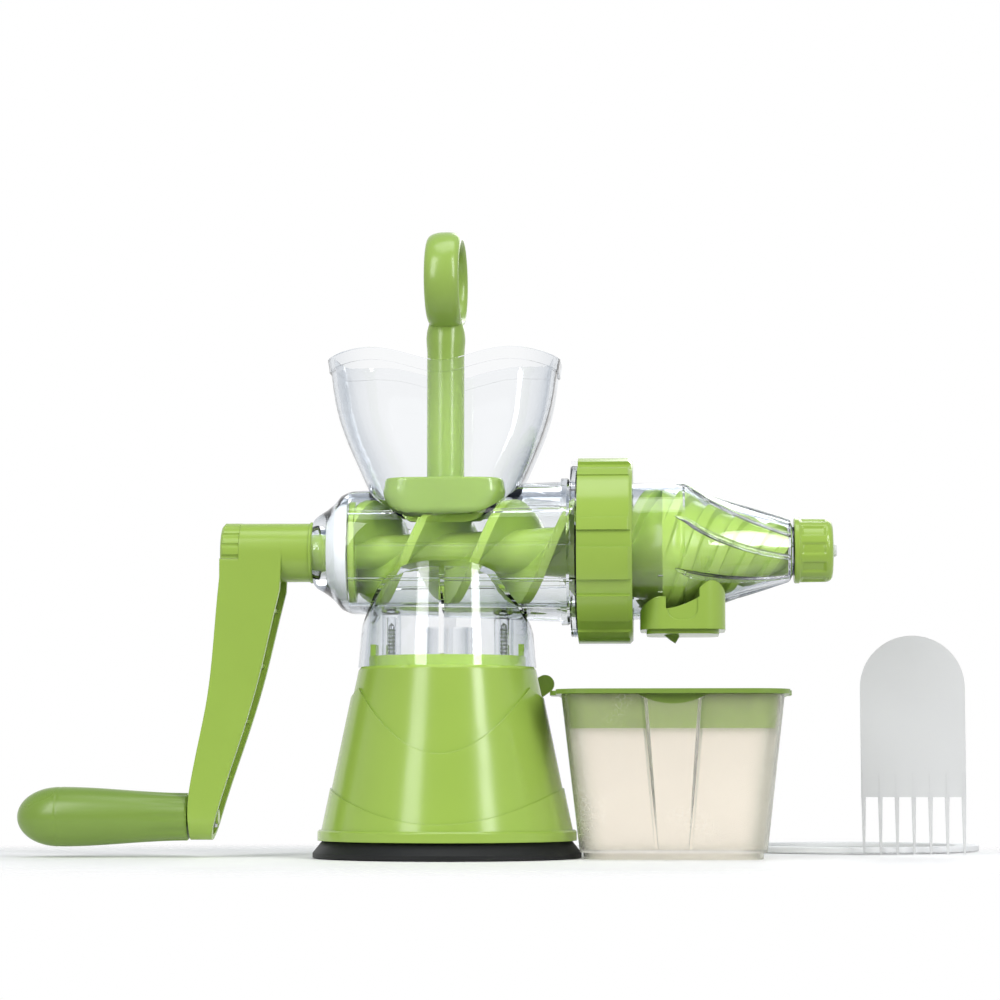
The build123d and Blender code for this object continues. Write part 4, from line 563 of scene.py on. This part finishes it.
outside = around_x(grip_x[:, None], grip_r[:, None] - flute_depth[:, None] * flute, grip_a, GRIP_H)
print("grip grid", outside.shape[:2], "thickest", round(2 * grip_r.max(), 2), "mm")

# %% [markdown]
# Inside, a bore lets the steel axle through, and a wider pocket holds its head.

# %% Grip bore and mesh
hollow = np.array([(-181.8, 0), (-181.8, 5.9), (-175.8, 5.9), (-175.8, 4.06), (-123.8, 4.06)])
inside = around_x(hollow[:, :1], hollow[:, 1:], grip_a, GRIP_H)
grip_skin = np.concatenate([inside, outside])
# Painted shade: the grip takes the copy of the green painted darker.
surface("grip_handle", grip_skin, grip_green_painted_shade, "grip", replaces=("grip",))

# %% [markdown]
# ## End cap
# A small fluted cap: a plain band, ten soft finger flutes and a rounded end with a hole for the
# valve. It is a turned profile, and the flutes take a little off its radius: a soft step of the
# cosine around it, which fades at both ends, so their corners are round like those of a real mould.

# %% End cap
CAP_FLUTES, CAP_FLUTE_DEEP = 10, 0.85
cap_out = dense([(165.7, 12.2), (165.7, 15.2), (166.1, 15.6), (168.0, 15.6), (168.5, 15.1), (180.6, 15.0),
                 (181.9, 14.75), (183.0, 14.1), (183.7, 13.1), (184.0, 11.9), (184.0, 2.95)], 0.35)
cap_in = dense([(184.0, 2.95), (180.6, 2.95), (180.6, 12.2), (165.7, 12.2)], 6.0)[1:]
cap_a = full_turn(240)
fade = smooth((cap_out[:, 0] - 168.6) / 1.3) * smooth((181.2 - cap_out[:, 0]) / 2.2) * (cap_out[:, 1] > 14.0)
groove = smooth((np.cos(CAP_FLUTES * cap_a) + 0.45) / 0.7)
cap_r = cap_out[:, 1:] - CAP_FLUTE_DEEP * fade[:, None] * groove
cap = np.concatenate([around_x(cap_out[:, :1], cap_r, cap_a, AXIS_H),
                      around_x(cap_in[:, :1], cap_in[:, 1:], cap_a, AXIS_H)])
surface("fluted_cap", cap, green, "cap", replaces=("end_cap",))

# %% [markdown]
# ## Pusher
# Finger ring, rod and pad are one moulding. The ring is a fat round band: a rounded box section
# carried around a circle, a bit narrower at the bottom, and the whole ring leans 2.5 degrees about
# the upright.

# %% Finger ring
PUSHER_X, RING_MID_H, RING_R, RING_HALF_WIDE = -1.0, 277.0, 20.4, 8.35
ring_u = np.linspace(0, 2 * np.pi, 121)[:, None]
ring_v = full_turn(48)[None, :]
neck_in = 1 - 0.06 * np.exp(-((ring_u - np.pi) / 0.35) ** 2)
ring_x = RING_HALF_WIDE * boxy(ring_v, 0.85)[0] * neck_in
ring_r = RING_R + np.where(np.sin(ring_v) > 0, 3.6, 3.1) * np.sin(ring_v) + 0.0 * ring_u
ring_y = ring_r * np.sin(ring_u)
lean = math.radians(-2.5)
ring = np.stack([PUSHER_X + ring_x * math.cos(lean) - ring_y * math.sin(lean),
                 ring_x * math.sin(lean) + ring_y * math.cos(lean),
                 RING_MID_H + ring_r * np.cos(ring_u)], -1)
# Painted light: the ring takes a copy of the green painted lighter.
surface("pusher_ring", ring, ring_green_painted_light, "pusher", replaces=("pusher",))

# %% [markdown]
# The rod is an upright column. Under the ring it bulges to a knuckle, a bell curve on its radius,
# and then both half widths shrink by soft steps to slip into the ring.

# %% Rod
ROD_R = 9.0
rod_z = np.array([178.0, 178.0, *np.linspace(179, 236, 12), *np.linspace(238, 258.5, 30), 258.5])
rod_rx = ROD_R + 0.45 * np.exp(-((rod_z - 248.5) / 4.2) ** 2) - 1.1 * smooth((rod_z - 252.0) / 6.5)
rod_ry = ROD_R - 2.6 * smooth((rod_z - 246.0) / 12.0)
rod_open = np.ones(len(rod_z))
rod_open[[0, -1]] = 0.0
rod_a = full_turn(72)
rod = np.stack(np.broadcast_arrays(PUSHER_X + (rod_rx * rod_open)[:, None] * np.cos(rod_a),
                                   (rod_ry * rod_open)[:, None] * np.sin(rod_a), rod_z[:, None]), -1)
# Painted shade: the rod takes the copy of the green painted darker.
surface("pusher_rod", rod, pusher_green_painted_shade, "pusher")

# %% [markdown]
# The pad is a rounded box outline, given as rows of (share of the outline, height) from the middle of
# the top, down the side, to the middle of the underside. Where a row would dip below a lying
# cylinder around the screw, it is lifted onto it: that hollows the underside to a saddle.

# %% Pad
PAD_HALF_Y, SADDLE_R = 21.6, 26.1
pad_ux, pad_uy = boxy(full_turn(160), 0.42)
pad_rows = np.array([(0, 180), (0.5, 180), (0.97, 180), (0.985, 179.85), (0.995, 179.4), (1.0, 178.8),
                     *[(1.0, z) for z in np.linspace(178, 165.5, 24)], (0.99, 164.0), (0.96, 163.1),
                     *[(s, 162.7) for s in np.linspace(0.92, 0, 24)]])
pad_y = PAD_HALF_Y * pad_rows[:, :1] * pad_uy
saddle = AXIS_H + np.sqrt(np.clip(SADDLE_R ** 2 - pad_y ** 2, 0, None))
pad_z = np.maximum(pad_rows[:, 1:], saddle)
half_x = track(pad_z, (162.7, 22.6), (164.0, 24.4), (166.5, 26.4), (171.0, 28.9), (173.5, 29.3),
               (180.0, 28.2))
pad = np.stack([PUSHER_X + half_x * pad_rows[:, :1] * pad_ux, pad_y, pad_z], -1)
# Painted shade: the pad takes the copy of the green painted darker.
surface("pusher_pad", pad, pusher_green_painted_shade, "pusher", sharp_deg=50)

# %% [markdown]
# ## Ribs on the clear cone
# Eight glassy ribs stiffen the cone. Each starts as a drop near the wide end and winds back as it
# runs to the neck. A rib is a flattened tube: its middle line follows the taper, its width and height
# grow as the square root of the way from its start, and its lower half is sunk in the wall.

# %% Cone ribs
RIBS, RIB_FIRST_DEG, RIB_WIND_DEG = 8, 22.5, 40
RIB_WIDE, RIB_HIGH, RIB_SUNK = 2.1, 1.35, 0.4
RIB_X0, RIB_LONG, RIB_GROWS = 109.0, 54.5, 9.0
rib_x = np.append(RIB_X0 + RIB_LONG * np.linspace(0, 1, 90) ** 1.15, 163.6)[None, :, None]
rib_v = full_turn(20)[None, None, :]
rib_start = np.radians(RIB_FIRST_DEG + 360 / RIBS * np.arange(RIBS))[:, None, None]
rib_middle = rib_start - math.radians(RIB_WIND_DEG) * (rib_x - 113.8) / 50.0
rib_grow = np.sqrt(np.clip((rib_x - RIB_X0) / RIB_GROWS, 0, 1)) * (rib_x < 163.55)
rib_wide = RIB_WIDE * rib_grow * track(rib_x, (118, 1.0), (163.5, 0.62))
rib_high = RIB_HIGH * rib_grow * track(rib_x, (118, 1.0), (163.5, 0.7))
taper = track(rib_x, (109.0, 32.7), (113.8, 32.7), (119.0, 30.1), *CONE_TAPER[2:])
rib_lift = np.where(np.sin(rib_v) > 0, 1.3 * rib_high, 0.5 * rib_wide) * np.sin(rib_v)
rib_r = taper - RIB_SUNK * rib_grow + rib_lift
ribs = around_x(rib_x, rib_r, rib_middle + rib_wide * np.cos(rib_v) / taper, AXIS_H)
surface("cone_ribs", ribs, clear_plastic, "base")

# %% [markdown]
# ## Floor
# A pale table top that fades out to the white background, so that only the soft shadow under the
# juicer shows.

# %% Floor
FLOOR_R, FLOOR_H = 1.6, -0.0004
floor_mesh = bpy.data.meshes.new("floor")
floor_a = full_turn(96)
rim = np.stack([FLOOR_R * np.cos(floor_a) + 0.02, FLOOR_R * np.sin(floor_a), 0 * floor_a + FLOOR_H], 1)
floor_mesh.from_pydata(rim.tolist(), [], [list(range(len(rim)))])
floor = bpy.data.objects.new("floor", floor_mesh)
scene.collection.objects.link(floor)
floor_paint = bpy.data.materials.new("pale table")
floor_paint.use_nodes = True
tree = floor_paint.node_tree
shader = tree.nodes["Principled BSDF"]
shader.inputs["Roughness"].default_value = 0.6
shader.inputs["Specular IOR Level"].default_value = 0.2
place = node(tree, "ShaderNodeTexCoord")
grain = node(tree, "ShaderNodeTexNoise", {"Scale": 40.0, "Detail": 3.0})
link(tree, place.outputs["Object"], grain.inputs["Vector"])
tone = node(tree, "ShaderNodeMix", data_type="RGBA")
tone.inputs[6].default_value = linear("#fbfbfb")
tone.inputs[7].default_value = linear("#f6f6f6")
link(tree, grain.outputs["Fac"], tone.inputs["Factor"])
link(tree, tone.outputs[2], shader.inputs["Base Color"])
oval = node(tree, "ShaderNodeVectorMath", operation="MULTIPLY")
oval.inputs[1].default_value = (0.5, 0.8, 1.0)
link(tree, place.outputs["Object"], oval.inputs[0])
far = node(tree, "ShaderNodeVectorMath", operation="LENGTH")
link(tree, oval.outputs[0], far.inputs[0])
fade = node(tree, "ShaderNodeMapRange", {"From Min": 0.11, "From Max": 0.24, "To Min": 1.0, "To Max": 0.0},
            interpolation_type="SMOOTHSTEP")
link(tree, far.outputs["Value"], fade.inputs["Value"])
link(tree, fade.outputs[0], shader.inputs["Alpha"])
floor_mesh.materials.append(floor_paint)
print("floor corners", len(rim))
